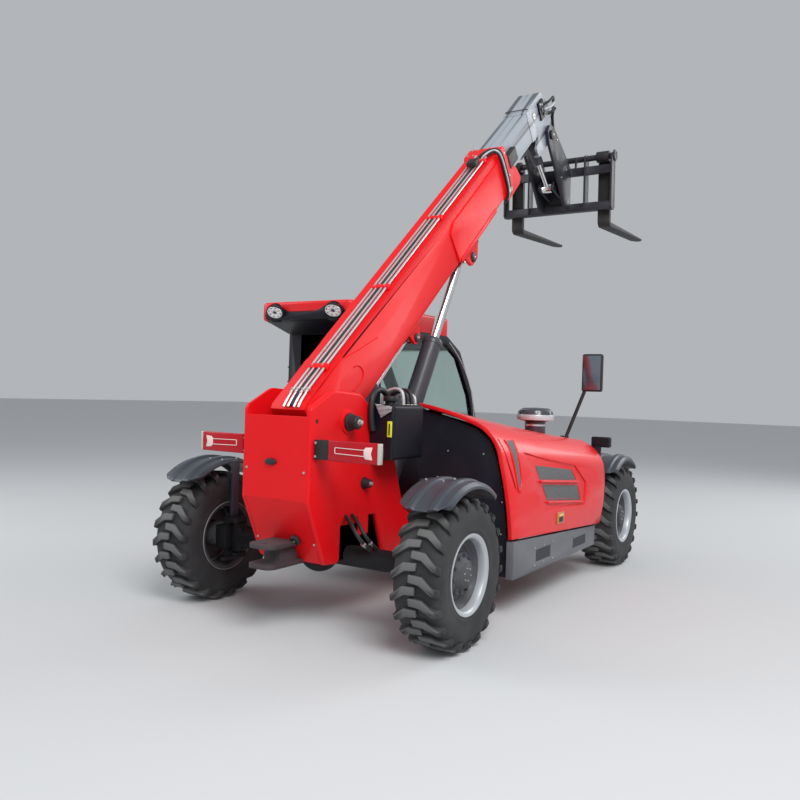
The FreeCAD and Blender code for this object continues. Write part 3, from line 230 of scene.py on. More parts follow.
# Axles and knuckles
# Cast and machined steel under satin dark grey paint, dusty from the road.
axle_paint = painted("axle_paint", (0.008, 0.008, 0.011), (0.04, 0.038, 0.036), 0.5, 0.5, 0.0, shine=0.3)
WHEELBASE = 2.866
CORNERS = (
    # name, how far ahead of the rear axle, side
    ("rear_left", 0.0, 1),
    ("rear_right", 0.0, -1),
    ("front_left", WHEELBASE, 1),
    ("front_right", WHEELBASE, -1),
)
finished("axles", axle_paint)
for corner, ahead, side in CORNERS:
    finished("knuckle_" + corner, axle_paint)

# Tyres
# Moulded rubber: a round carcass with rim guards, and twenty-one bent bars to each
# shoulder, half a pitch apart. One tyre is made and the other three are its copies.
TYRE_R = 0.4155
TYRE_MIDDLE_Y = 0.887
LUGS_PER_SIDE = 21
TREAD_FLOOR_R = 0.3885


def ring_of(corners, name, filled):
    """A ring of corners, filled or open, ready to be pulled or spun."""
    bpy.ops.object.select_all(action="DESELECT")
    bpy.ops.mesh.primitive_circle_add(vertices=len(corners), fill_type="NGON" if filled else "NOTHING")
    piece = bpy.context.object
    piece.name = name
    for vertex, corner in zip(piece.data.vertices, corners):
        vertex.co = corner
    return piece


def plate(name, corners, thickness):
    """A flat plate from its corners, pulled to its thickness."""
    piece = ring_of(corners, name, True)
    bpy.ops.object.mode_set(mode="EDIT")
    bpy.ops.mesh.select_all(action="SELECT")
    bpy.ops.mesh.extrude_region_move(TRANSFORM_OT_translate={"value": thickness})
    bpy.ops.mesh.select_all(action="SELECT")
    bpy.ops.mesh.normals_make_consistent(inside=False)
    bpy.ops.object.mode_set(mode="OBJECT")
    return piece


def turned(name, profile, centre, axis, steps=64):
    """A ring turned on an axis, from a closed profile of (along, out) points."""
    axis = Vector(axis).normalized()
    out = axis.orthogonal().normalized()
    piece = ring_of([centre + axis * a + out * r for a, r in profile], name, False)
    bpy.ops.object.mode_set(mode="EDIT")
    bpy.ops.mesh.select_all(action="SELECT")
    bpy.ops.mesh.spin(steps=steps, angle=2 * math.pi, center=centre, axis=axis)
    bpy.ops.mesh.select_all(action="SELECT")
    bpy.ops.mesh.remove_doubles(threshold=0.00005)
    bpy.ops.mesh.normals_make_consistent(inside=False)
    bpy.ops.object.mode_set(mode="OBJECT")
    return piece


def joined(pieces, name):
    """Several pieces made one."""
    bpy.ops.object.select_all(action="DESELECT")
    for piece in pieces:
        piece.select_set(True)
    bpy.context.view_layer.objects.active = pieces[0]
    bpy.ops.object.join()
    bpy.context.object.name = name
    return bpy.context.object


def copy_moved(piece, name, turn):
    """A copy with its own mesh, its place in the mesh."""
    copy = bpy.data.objects.new(name, piece.data.copy())
    copy.data.transform(turn)
    if turn.determinant() < 0:
        copy.data.flip_normals()
    bpy.context.scene.collection.objects.link(copy)
    return copy


CARCASS_SIDE = [
    # outward from the tyre's middle, radius, from the tread to the bead
    (0.000, TREAD_FLOOR_R), (0.070, 0.3865), (0.112, 0.381), (0.131, 0.366), (0.1385, 0.340), (0.1405, 0.305),
    (0.1375, 0.270), (0.1335, 0.252), (0.1355, 0.246), (0.1330, 0.238), (0.1260, 0.224), (0.1240, 0.206),
]
carcass_profile = CARCASS_SIDE + [(-a, r) for a, r in CARCASS_SIDE[:0:-1]]
hub_centre = at(0, TYRE_MIDDLE_Y, TYRE_R)
carcass = turned("tyre_carcass", carcass_profile, hub_centre, (0, 1, 0), 96)
finish_edges(carcass, 0)

LUG_PLAN = (
    # along the tread, across it from the middle
    (0.047, -0.018), (0.043, 0.058), (-0.012, 0.118), (-0.025, 0.1405), (-0.070, 0.1405), (-0.055, 0.112),
    (-0.007, 0.044), (0.000, -0.018),
)
lug = plate("lug", [Vector((u, v, 0)) for u, v in LUG_PLAN], (0, 0, 1))
bpy.ops.object.mode_set(mode="EDIT")
bpy.ops.mesh.select_all(action="SELECT")
bpy.ops.mesh.inset(thickness=0.0)
bpy.ops.object.mode_set(mode="OBJECT")


def lug_point(point, turn, side):
    """From the flat plan to the round tread, rolled down at the shoulder."""
    share = max(0.0, (abs(point.y) - 0.10) / 0.04)
    crown = TYRE_R - 0.001 - 0.0015 * abs(point.y) / 0.1 - 0.020 * share ** 1.6
    foot = TREAD_FLOOR_R - 0.004 - 0.030 * share
    radius = foot + (crown - foot) * point.z
    narrow = 1.0 - 0.16 * point.z
    middle = -0.45 * max(0.0, point.y - 0.05)
    along = middle + (point.x - middle - 0.022) * narrow
    angle = along / TYRE_R + turn
    return hub_centre + Vector((radius * math.sin(angle), side * point.y, radius * math.cos(angle)))


bars = []
for side in (1, -1):
    for k in range(LUGS_PER_SIDE):
        turn = 2 * math.pi * (k + (0.5 if side < 0 else 0.0)) / LUGS_PER_SIDE
        bar = bpy.data.objects.new("lug_bar", lug.data.copy())
        bpy.context.scene.collection.objects.link(bar)
        for vertex in bar.data.vertices:
            vertex.co = lug_point(vertex.co, turn, side)
        if side < 0:
            bar.data.flip_normals()
        bars.append(bar)
bpy.data.objects.remove(lug)
tread = joined(bars, "tyre_tread")
bpy.ops.object.mode_set(mode="EDIT")
bpy.ops.mesh.select_all(action="SELECT")
bpy.ops.mesh.remove_doubles(threshold=0.00001)
bpy.ops.mesh.normals_make_consistent(inside=False)
bpy.ops.object.mode_set(mode="OBJECT")
finish_edges(tread, 0.0035, 30.0)
tyre = joined([carcass, tread], "tyre_rear_left_rubber")

rubber = painted("tyre_rubber", (0.022, 0.023, 0.025), (0.11, 0.108, 0.102), 0.62, 0.55, 0.0, 0.0, 0.004)


def laid_over(finish, colour, share):
    """Lays a second colour over a finish, as far as its share goes."""
    tree = finish.node_tree
    shader = tree.nodes["Principled BSDF"]
    under = shader.inputs["Base Color"].links[0].from_socket
    mix = shade(tree, "Mix", {"A": under, "B": (*colour, 1), "Factor": share}, data_type="RGBA")
    feed(tree, shader, {"Base Color": mix})


# The tops of the bars are painted paler, partly scuffed rubber and partly a painted highlight: that shows by
# the distance from the wheel's axis.
tree = rubber.node_tree
parts = next(n for n in tree.nodes if n.type == "SEPXYZ").outputs
flat = shade(tree, "CombineXYZ", {"X": parts["X"], "Z": parts["Z"]})
gaps = []
for ahead in (0.0, WHEELBASE):
    gaps.append(shade(tree, "VectorMath", {0: flat, 1: at(ahead, 0, TYRE_R)}, operation="DISTANCE"))
nearer = shade(tree, "Math", dict(enumerate(gaps)), operation="MINIMUM")
# Paler bar tops: part wear, part painted highlight.
worn_tops_and_highlight = shade(tree, "MapRange", {"Value": nearer, "From Min": 0.396, "From Max": 0.411, "To Max": 0.8})
laid_over(rubber, (0.15, 0.151, 0.15), worn_tops_and_highlight)
tyre.data.materials.clear()
tyre.data.materials.append(rubber)
for corner, ahead, side in CORNERS:
    turn = Matrix.Translation((ahead, 0, 0)) @ Matrix.Scale(side, 4, (0, 1, 0))
    rubber_ring = tyre if corner == "rear_left" else copy_moved(tyre, f"tyre_{corner}_rubber", turn)
    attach(rubber_ring, "wheel_" + corner)
    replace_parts(rubber_ring, "tyre_" + corner)

# Wheels
# A pressed steel disc welded in a rolled silver rim, and bolted to a planetary
# hub with a flat cover. Ten nuts hold it, and the cover has six screws. The disc and
# the rim's inner side are painted dark grey: painted shade in the wheel's recess.
rim_silver = painted("rim_silver", (0.52, 0.545, 0.58), (0.34, 0.33, 0.32), 0.26, 0.3, 0.2, 0.4)
hub_grey = painted("hub_grey", (0.035, 0.04, 0.05), (0.17, 0.165, 0.16), 0.45, 0.8, 0.0)
zinc = painted("zinc_bolts", (0.62, 0.62, 0.60), (0.4, 0.38, 0.34), 0.3, 0.4, 0.0, 0.9)
# The dark grey of the disc and the rim's inner side is painted shade in the wheel's recess.
disc_grey = painted("disc_grey", (0.050, 0.053, 0.060), (0.14, 0.135, 0.13), 0.4, 0.5, 0.1)
RIM_PROFILE = (
    # outward from the tyre's middle, radius
    (0.132, 0.2225), (0.132, 0.214), (0.120, 0.197), (0.100, 0.192), (0.060, 0.188), (0.020, 0.187),
    (-0.100, 0.189), (-0.122, 0.197), (-0.135, 0.2225), (-0.127, 0.2225), (-0.120, 0.205), (0.119, 0.205),
    (0.124, 0.2225),
)
DISC_PROFILE = (
    (0.082, 0.1895), (0.052, 0.172), (0.046, 0.152), (0.052, 0.138), (0.056, 0.128), (0.056, 0.084),
    (0.038, 0.084), (0.038, 0.124), (0.030, 0.146), (0.036, 0.174), (0.066, 0.1895),
)
LINER_PROFILE = (
    # the rim's inner side, painted dark as painted shade inside the rim
    (0.015, 0.1855), (-0.101, 0.1875), (-0.1225, 0.1950), (-0.1345, 0.2190), (-0.1352, 0.2190),
    (-0.1240, 0.1970), (-0.1015, 0.1895), (0.015, 0.1875),
)
HUB_PROFILE = (
    (-0.087, 0.052), (-0.087, 0.084), (0.056, 0.084), (0.056, 0.119), (0.072, 0.119), (0.078, 0.113),
    (0.078, 0.092), (0.104, 0.074), (0.110, 0.066), (0.110, 0.050), (0.113, 0.048), (0.113, 0.0), (0.0, 0.0),
    (0.0, 0.052),
)
LEFTWARD = Vector((0, 1, 0))


def fitted(piece, edge, finish, body=None):
    """Rounds a piece's edges, coats it and puts it on its body."""
    finish_edges(piece, edge)
    piece.data.materials.append(finish)
    if body:
        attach(piece, body)
    return piece


def lathed(name, profile, centre, axis, steps, edge, finish, body=None):
    """A turned piece, finished and put on its body."""
    return fitted(turned(name, profile, centre, axis, steps), edge, finish, body)


def pitch_circle(centre, axis, radius, count):
    """The places of bolts spaced evenly round an axis."""
    arm = axis.orthogonal().normalized() * radius
    return [centre + Matrix.Rotation(2 * math.pi * k / count, 3, axis) @ arm for k in range(count)]


def bolts(name, places, axis, size, height, body=None, finish=zinc):
    """Hexagon heads on round washers, at their places, standing out along the axis."""
    axis = Vector(axis)
    turn = axis.to_track_quat("Z", "Y").to_euler()
    heads = []
    for place in places:
        for corners, wide, deep, lift in ((16, 0.72, 0.3, 0.15), (6, 0.56, 0.75, 0.62)):
            bpy.ops.object.select_all(action="DESELECT")
            bpy.ops.mesh.primitive_cylinder_add(vertices=corners, radius=size * wide, depth=height * deep,
                                                location=place + axis * height * lift, rotation=turn)
            heads.append(bpy.context.object)
    piece = joined(heads, name)
    bpy.ops.object.transform_apply(location=True, rotation=True, scale=True)
    return fitted(piece, height * 0.08, finish, body)


rim = lathed("rim_rear_left_steel", RIM_PROFILE, hub_centre, LEFTWARD, 72, 0.0015, rim_silver)
disc = fitted(joined([turned("disc", DISC_PROFILE, hub_centre, LEFTWARD, 72),
                      turned("liner", LINER_PROFILE, hub_centre, LEFTWARD, 72)], "rim_disc_rear_left"),
              0.001, disc_grey)
hub = lathed("hub_rear_left", HUB_PROFILE, hub_centre, LEFTWARD, 48, 0.002, hub_grey)
nut_places = pitch_circle(hub_centre + LEFTWARD * 0.078, LEFTWARD, 0.104, 10)
nuts = bolts("nuts_rear_left", nut_places, LEFTWARD, 0.015, 0.014, None, hub_grey)
screw_places = pitch_circle(hub_centre + LEFTWARD * 0.112, LEFTWARD, 0.036, 6)
screws = bolts("cover_screws_rear_left", screw_places, LEFTWARD, 0.007, 0.005)
for corner, ahead, side in CORNERS:
    turn = Matrix.Translation((ahead, 0, 0)) @ Matrix.Scale(side, 4, (0, 1, 0))
    for piece in (rim, disc, hub, nuts, screws):
        name = piece.name.replace("rear_left", corner)
        made = piece if corner == "rear_left" else copy_moved(piece, name, turn)
        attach(made, "wheel_" + corner)
        if piece is rim:
            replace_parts(made, "rim_" + corner)

# Fenders
# Moulded plastic arches with two pressed ribs and rolled rims, each held by four
# bolts to the steel stay on its knuckle.
fender_plastic = painted("fender_plastic", (0.034, 0.042, 0.058), (0.12, 0.12, 0.125), 0.32, 0.35, 0.2)
FENDER_INNER_Y = 0.725
FENDER_OUTER_Y = 1.035
FENDER_TOP_R = 0.5017
ROUND_R = 0.110
HALF_ARC = 0.3765
UPWARD = (0, 0, 1)
for corner, ahead, side in CORNERS:
    arch = finished("fender_" + corner, fender_plastic, 0.003, 25.0)
    for vertex in arch.data.vertices:
        # The corners of both ends are round: towards its edges the arch is shorter.
        inset = min(abs(vertex.co.y) - FENDER_INNER_Y, FENDER_OUTER_Y - abs(vertex.co.y))
        if -0.002 < inset < ROUND_R:
            short = ROUND_R - math.sqrt(ROUND_R ** 2 - (ROUND_R - max(0.0, inset)) ** 2)
            middle = at(ahead, vertex.co.y, TYRE_R)
            spoke = vertex.co - middle
            angle = math.atan2(spoke.x, spoke.z) * (1 - short / HALF_ARC)
            vertex.co = middle + spoke.length * Vector((math.sin(angle), 0, math.cos(angle)))
    tops = [at(ahead + dx, side * y, TYRE_R + math.sqrt(FENDER_TOP_R ** 2 - dx ** 2))
            for dx in (-0.07, 0.06) for y in (0.762, 0.87)]
    bolts("fender_bolts_" + corner, tops, UPWARD, 0.011, 0.009, "steer_" + corner)

# Tow hitch
# Two flame-cut steel plates with webs between them, left in dark primer, and the
# drop-in pin with its ring handle.
hitch_primer = painted("hitch_primer", (0.050, 0.036, 0.040), (0.13, 0.11, 0.11), 0.6, 0.5, 0.0)
finished("tow_hitch", hitch_primer, 0.002)

# Tail details
# The screws, small lamp and trailer socket of the folded tail plate, the greased boom
# pivot with its black caps, and the lock pins of the counterweight.
black_plastic = painted("black_plastic", (0.012, 0.012, 0.014), (0.1, 0.1, 0.1), 0.38, 0.3, 0.0)
hole_shade = painted("hole_shade", (0.10, 0.004, 0.006), (0.1, 0.02, 0.02), 0.7, 0.1, 0.0)
TAIL_X = -0.440
PLATE_LAMP_Z = 0.976
BACKWARD = (-1, 0, 0)
SLOPE_WAY = Vector((-0.88, 0, -0.475)).normalized()
SIDES = ((-1, "right"), (1, "left"))


def about(centre, change):
    """A turn or a stretch, made about a centre."""
    centre = Vector(centre)
    return Matrix.Translation(centre) @ change @ Matrix.Translation(-centre)


bolts("tail_screws", [at(TAIL_X, 0.206, 0.931), at(TAIL_X, -0.209, 0.93)], BACKWARD, 0.010, 0.008, "chassis")
bolts("slope_screws", [at(-0.3257, y, 0.522) for y in (0.207, -0.207)], SLOPE_WAY, 0.010, 0.008, "chassis")
LAMP_PROFILE = ((0.0, 0.0), (0.0, 0.030), (0.010, 0.030), (0.016, 0.024), (0.018, 0.0))
plate_lamp = turned("plate_lamp", LAMP_PROFILE, at(TAIL_X, 0.020, PLATE_LAMP_Z), BACKWARD, 32)
plate_lamp.data.transform(about((0, 0, PLATE_LAMP_Z), Matrix.Diagonal((1, 1.35, 0.62, 1))))
fitted(plate_lamp, 0.001, black_plastic, "chassis")

SOCKET_PROFILE = (
    # out of the slope, radius
    (-0.004, 0.0), (-0.004, 0.032), (0.008, 0.032), (0.010, 0.029), (0.016, 0.026), (0.018, 0.023),
    (0.018, 0.0),
)
socket_foot = at(-0.3395, -0.085, 0.535)
lathed("tow_socket", SOCKET_PROFILE, socket_foot, SLOPE_WAY, 32, 0.001, black_plastic, "chassis")
bolts("tow_socket_pin", [socket_foot + SLOPE_WAY * 0.018], SLOPE_WAY, 0.009, 0.006, "chassis")

PIVOT = (-0.100, 1.205)
HOLE_PROFILE = ((0.0, 0.0), (0.0, 0.013), (0.0006, 0.0125), (0.0006, 0.0))
CAP_PROFILE = (
    # out from the boss, radius
    (-0.002, 0.0), (-0.002, 0.052), (0.010, 0.052), (0.014, 0.048), (0.014, 0.040), (0.060, 0.040),
    (0.066, 0.034), (0.066, 0.0),
)
LOCK_PROFILE = ((0, 0), (0, 0.036), (0.008, 0.036), (0.008, 0.028), (0.045, 0.026), (0.048, 0.0))
for side, word in SIDES:
    out = Vector((0, side, 0))
    hole_foot = at(-0.386, side * 0.2448, 1.212)
    cap_foot = at(PIVOT[0], side * 0.262, PIVOT[1])
    lock_foot = at(0.089, side * 0.245, 0.838)
    lathed("plate_hole_" + word, HOLE_PROFILE, hole_foot, out, 28, 0, hole_shade, "chassis")
    lathed("pivot_cap_" + word, CAP_PROFILE, cap_foot, out, 40, 0.002, black_plastic, "chassis")
    bolts("pivot_bolt_" + word, [cap_foot + out * 0.064], out, 0.026, 0.022, "chassis")
    lathed("lock_pin_" + word, LOCK_PROFILE, lock_foot, out, 32, 0.0015, black_plastic, "chassis")
    bolts("lock_bolt_" + word, [lock_foot + out * 0.046], out, 0.018, 0.016, "chassis")

# Tail lamps
# Each side has a black steel bracket, a red moulded lens with a pale outline of the
# light guide in it, and a bright end cap.
TAIL_LAMPS = (
    # side, name, inner and outer end of the lens, bracket's outer end
    (-1, "right", 0.348, 0.668, 0.350),
    (1, "left", 0.264, 0.586, 0.268),
)
LAMP_LOW_Z = 1.004
LAMP_HIGH_Z = 1.116
LAMP_X = -0.418
GUIDE_DEPTH = 0.0025
lens_red = painted("lens_red", (0.46, 0.003, 0.012), (0.3, 0.01, 0.02), 0.16, 0.08, 0.15, shine=0.3)
guide_white = painted("light_guide", (0.85, 0.66, 0.62), (0.6, 0.5, 0.48), 0.25, 0.1, 0.3)
end_silver = painted("lamp_end", (0.62, 0.60, 0.52), (0.4, 0.38, 0.34), 0.35, 0.3, 0.1, 0.5)


def block(name, low, high, edge, finish, body, turn=None):
    """A box with rounded edges between two corners, turned if it lies on the boom."""
    low, high = Vector(low), Vector(high)
    bpy.ops.object.select_all(action="DESELECT")
    bpy.ops.mesh.primitive_cube_add(size=1, location=(low + high) / 2, scale=high - low)
    piece = bpy.context.object
    piece.name = name
    bpy.ops.object.transform_apply(location=True, rotation=True, scale=True)
    bpy.ops.object.mode_set(mode="EDIT")
    bpy.ops.mesh.select_all(action="SELECT")
    bpy.ops.mesh.bevel(offset=edge, segments=3, affect="EDGES")
    bpy.ops.object.mode_set(mode="OBJECT")
    if turn:
        piece.data.transform(turn)
    bpy.ops.object.shade_smooth_by_angle(angle=math.radians(30))
    piece.data.materials.append(finish)
    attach(piece, body)
    return piece


def lamp_box(name, side, x_span, y_span, z_span, edge, finish):
    """A block of one side's lamp, between its spans along, across and up."""
    y0, y1 = sorted(side * y for y in y_span)
    return block(name, at(x_span[0], y0, z_span[0]), at(x_span[1], y1, z_span[1]), edge, finish, "chassis")


for side, word, inner, outer, bracket_out in TAIL_LAMPS:
    lamp_box("tail_bracket_" + word, side, (-0.408, -0.352), (0.247, bracket_out), (1.006, 1.112), 0.004,
             black_plastic)
    lamp_box("tail_arm_" + word, side, (-0.392, -0.372), (inner - 0.014, outer + 0.010), (1.036, 1.090),
             0.002, black_plastic)
    lens = lamp_box("tail_lens_" + word, side, (LAMP_X, -0.388), (inner, outer), (LAMP_LOW_Z, LAMP_HIGH_Z),
                    0.006, lens_red)
    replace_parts(lens, "tail_lamps")
    lamp_box("tail_end_" + word, side, (-0.420, -0.386), (outer, outer + 0.014),
             (LAMP_LOW_Z + 0.001, LAMP_HIGH_Z - 0.001), 0.004, end_silver)
    far = outer - 0.030
    near = far - 0.055
    start = inner + 0.046
    guide_outlines = (
        ((start, 1.081), (near, 1.078), (near, 1.074), (start, 1.077)),
        ((start, 1.050), (near, 1.046), (near, 1.042), (start, 1.046)),
        ((start, 1.081), (start + 0.005, 1.081), (start + 0.005, 1.046), (start, 1.046)),
        ((near, 1.042), (near + 0.012, 1.030), (far, 1.027), (far - 0.010, 1.060), (far, 1.094),
         (near + 0.012, 1.091), (near, 1.078)),
    )
    strips = [plate("guide", [at(LAMP_X - 0.0005, side * y, z) for y, z in outline], (-GUIDE_DEPTH, 0, 0))
              for outline in guide_outlines]
    fitted(joined(strips, "light_guide_" + word), 0.0006, guide_white, "chassis")
    stud_places = [at(-0.408, side * 0.257, z) for z in (1.022, 1.096)]
    bolts("tail_bolts_" + word, stud_places, BACKWARD, 0.011, 0.007, "chassis")

# Engine hood
# A thin moulded lid in gloss red, with two vents, a covered slit and a pressed-in
# panel. It swings up to reach the engine.
gloss_red = painted("gloss_red", (0.78, 0.005, 0.010), (0.5, 0.10, 0.08), 0.25, 0.05, 0.3, shine=0.35)
finished("hood_lid", gloss_red, 0.003, 24.0)

# Hood frame
# Black pressed panels that close the hood at its rear arch and front. Small zinc
# screws hold the arch.
satin_black = painted("satin_black", (0.006, 0.006, 0.012), (0.05, 0.05, 0.06), 0.36, 0.3, 0.1, shine=0.25)
finished("hood_frame", satin_black, 0.002)
ARCH_SCREWS = ((-0.466, 1.018), (-0.721, 1.014), (-0.86, 0.72), (-0.86, 0.52))
bolts("arch_screws", [at(0.725, y, z) for y, z in ARCH_SCREWS], BACKWARD, 0.008, 0.006, "chassis")

# Skirts and tanks
# The folded grey skirt under the hood has two openings backed with wire mesh, and the
# fuel tank hangs under the cab.
# Near-black painted into the holes of perforated sheet: painted shade seen through them.
HOLE_SHADE_BLACK = (0.004, 0.004, 0.005, 1)


def mesh_sheet(name, colour, hole, roughness):
    """Perforated sheet: round holes painted near-black, as painted shade behind them, in a grid on a paler
    web.
    """
    finish = painted(name, colour, (0.2, 0.2, 0.2), roughness, 0.4, 0.0)
    tree = finish.node_tree
    place = next(n for n in tree.nodes if n.type == "TEX_COORD").outputs["Object"]
    waves = []
    for tilt in (0, math.radians(90)):
        way = shade(tree, "Mapping", {"Vector": place, "Rotation": (0, tilt, 0)})
        waves.append(shade(tree, "TexWave", {"Vector": way, "Scale": hole}, bands_direction="X"))
    both = shade(tree, "Math", dict(enumerate(waves)), operation="MULTIPLY")
    holes = shade(tree, "MapRange", {"Value": both, "From Min": 0.25, "From Max": 0.4})
    web = shade(tree, "Mix", {"A": (*colour, 1), "B": HOLE_SHADE_BLACK, "Factor": holes}, data_type="RGBA")
    feed(tree, tree.nodes["Principled BSDF"], {"Base Color": web})
    return finish


skirt_grey = painted("skirt_grey", (0.135, 0.143, 0.16), (0.27, 0.26, 0.25), 0.42, 0.4, 0.05)
finished("side_skirts", skirt_grey, 0.002)
wire_mesh = mesh_sheet("wire_mesh", (0.05, 0.055, 0.065), 95.0, 0.6)
SKIRT_WINDOWS = (
    # rear x, front x, low z, high z
    (1.066, 1.329, 0.305, 0.385),
    (1.775, 2.055, 0.292, 0.362),
)
SCREEN_Y = -0.9580
SCREEN_GAP = 0.001
RIGHTWARD = (0, -1, 0)
for number, (x0, x1, z0, z1) in enumerate(SKIRT_WINDOWS):
    x0, x1 = x0 + SCREEN_GAP, x1 - SCREEN_GAP
    z0, z1 = z0 + SCREEN_GAP, z1 - SCREEN_GAP
    screen_corners = [at(x, SCREEN_Y, z) for x, z in ((x0, z0), (x1, z0), (x1, z1), (x0, z1))]
    screen = plate(f"skirt_screen_{number}", screen_corners, (0, 0.001, 0))
    screen.data.materials.append(wire_mesh)
    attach(screen, "chassis")
skirt_bolt_places = [at(x, -0.960, z) for x in (1.04, 1.198, 1.36) for z in (0.288, 0.402)]
bolts("skirt_bolts", skirt_bolt_places, RIGHTWARD, 0.009, 0.007, "chassis")
cast_iron = painted("cast_iron", (0.06, 0.06, 0.065), (0.2, 0.19, 0.17), 0.65, 0.6, 0.0)
finished("engine_block", cast_iron, 0.006)
finished("rear_tank", satin_black, 0.002)

# Vents, grille and latch of the hood
# Perforated steel sheet closes both vents from inside, over a moulded ledge. A tall
# grille between two lips stands behind a pressed strip. A paddle latch holds the hood.
sheet_grey = mesh_sheet("perforated_sheet", (0.16, 0.165, 0.17), 60.0, 0.5)
HOOD_ENDS = (
    # x, then (y, z) down the outer face, with a middle point on each of two arcs
    (0.690, ((-0.690, 1.214), (-0.806, 1.127), (-0.868, 0.985), (-0.917, 0.770), (-0.950, 0.500))),
    (2.300, ((-0.735, 1.066), (-0.925, 1.000), (-1.008, 0.870), (-1.017, 0.640), (-0.985, 0.415))),
)
VENTS = (
    # corners (x, z): rear top, front top, front bottom, rear bottom
    ((1.142, 0.931), (1.703, 0.875), (1.779, 0.789), (1.177, 0.833)),
    ((1.202, 0.803), (1.803, 0.755), (1.854, 0.637), (1.259, 0.687)),
)
SHEET_DEPTH = 0.0105


def hose(name, points, radius, finish, body, rounds=8):
    """A round hose on one smooth curve through its route."""
    line = bpy.data.curves.new(name, "CURVE")
    line.dimensions = "3D"
    line.bevel_depth = radius
    line.bevel_resolution = 3
    line.use_fill_caps = True
    line.resolution_u = rounds
    run = line.splines.new("NURBS")
    run.points.add(len(points) - 1)
    for spot, place in zip(run.points, points):
        spot.co = (*place, 1.0)
    run.order_u = 3
    run.use_endpoint_u = True
    piece = bpy.data.objects.new(name, line)
    bpy.context.scene.collection.objects.link(piece)
    alone(piece)
    bpy.ops.object.convert(target="MESH")
    piece = bpy.context.object
    bpy.ops.object.shade_smooth_by_angle(angle=math.radians(45))
    piece.data.materials.append(finish)
    if body:
        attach(piece, body)
    return piece


def hood_section(points, u):
    """A point down the outer face, u from 0 to 2, through the arcs' three points each."""
    a, b, c = points[0:3] if u < 1 else points[2:5]
    v = u if u < 1 else u - 1
    share = ((1 - v) * (1 - 2 * v), 4 * v * (1 - v), v * (2 * v - 1))
    return tuple(share[0] * a[k] + share[1] * b[k] + share[2] * c[k] for k in (0, 1))


def hood_side(x, z):
    """How far out the hood's face is at x and height z."""
    (x0, rear), (x1, front) = HOOD_ENDS
    share = (x - x0) / (x1 - x0)
    low, high = 0.0, 2.0
    for step in range(30):
        u = (low + high) / 2
        ry, rz = hood_section(rear, u)
        fy, fz = hood_section(front, u)
        if rz + (fz - rz) * share > z:
            low = u
        else:
            high = u
    return ry + (fy - ry) * share


def thickened(sheet):
    """Gives a bent sheet its wall."""
    alone(sheet)
    wall = sheet.modifiers.new("wall", "SOLIDIFY")
    wall.thickness = 0.0008
    bpy.ops.object.modifier_apply(modifier=wall.name)


def grid(across, down):
    """A flat sheet of small faces, one metre each way, to be bent."""
    bpy.ops.object.select_all(action="DESELECT")
    bpy.ops.mesh.primitive_grid_add(x_subdivisions=across, y_subdivisions=down, size=1)
    return bpy.context.object


sheets = []
for a, b, c, d in VENTS:
    sheet = grid(20, 5)
    for vertex in sheet.data.vertices:
        u, v = vertex.co.x + 0.5, vertex.co.y + 0.5
        x, z = [(d[k] * (1 - u) + c[k] * u) * (1 - v) + (a[k] * (1 - u) + b[k] * u) * v for k in (0, 1)]
        vertex.co = at(x, hood_side(x, z) + SHEET_DEPTH, z)
    sheets.append(sheet)
vent_sheets = joined(sheets, "vent_sheets")
thickened(vent_sheets)
vent_sheets.data.materials.append(sheet_grey)
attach(vent_sheets, "hood")

STRIPS = (
    # name, how proud of the hood, finish, then rear x, front x and z of its rows
    ("scoop_sheet", 0.0050, sheet_grey, (
        (0.819, 0.908, 1.102), (0.825, 0.904, 1.078), (0.829, 0.894, 1.028), (0.838, 0.888, 0.973),
        (0.838, 0.879, 0.906), (0.837, 0.871, 0.844), (0.841, 0.853, 0.791))),
    ("flare_plate", 0.0040, gloss_red, (
        (0.726, 0.777, 1.120), (0.743, 0.792, 1.032), (0.765, 0.804, 0.935), (0.783, 0.812, 0.870),
        (0.799, 0.817, 0.803))),
)
for name, proud, finish, rows in STRIPS:
    strip = grid(6, 18)
    strip.name = name
    for vertex in strip.data.vertices:
        down = (0.5 - vertex.co.y) * (len(rows) - 1)
        row = min(len(rows) - 2, int(down + 0.001))
        rear, front, z = [rows[row][k] + (rows[row + 1][k] - rows[row][k]) * (down - row) for k in range(3)]
        x = rear + (front - rear) * (vertex.co.x + 0.5)
        vertex.co = at(x, hood_side(x, z) - proud, z)
    thickened(strip)
    bpy.ops.object.shade_smooth_by_angle(angle=math.radians(40))
    strip.data.materials.append(finish)
    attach(strip, "hood")
LIPS = (
    # x and z down the lip on each side of the grille
    ((0.808, 1.108), (0.817, 1.050), (0.826, 0.970), (0.828, 0.900), (0.827, 0.840), (0.836, 0.782)),
    ((0.925, 1.106), (0.916, 1.054), (0.908, 0.963), (0.896, 0.874), (0.881, 0.819), (0.850, 0.778)),
)
for number, lip in enumerate(LIPS):
    lip_route = [at(x, hood_side(x, z) - 0.003, z) for x, z in lip]
    hose(f"scoop_lip_{number}", lip_route, 0.0070, gloss_red, "hood", 6)
LEDGES = (
    # rear end and front end of each ledge (x, z)
    ((1.172, 0.824), (1.800, 0.779)),
    ((1.254, 0.678), (1.872, 0.629)),
)
LEDGE_STEPS = 8
for number, (rear, front) in enumerate(LEDGES):
    route = []
    for k in range(LEDGE_STEPS + 1):
        x, z = [rear[j] + (front[j] - rear[j]) * k / LEDGE_STEPS for j in (0, 1)]
        out = 0.0005 if k in (0, LEDGE_STEPS) else -0.003
        route.append(at(x, hood_side(x, z) + out, z))
    hose(f"vent_ledge_{number}", route, 0.0075, gloss_red, "hood", 4)
latch_brown = painted("latch_brown", (0.52, 0.20, 0.025), (0.4, 0.3, 0.2), 0.3, 0.3, 0.4)
latch_pale = painted("latch_pale", (0.80, 0.52, 0.12), (0.5, 0.4, 0.2), 0.3, 0.2, 0.4)
LATCH_X = 1.465
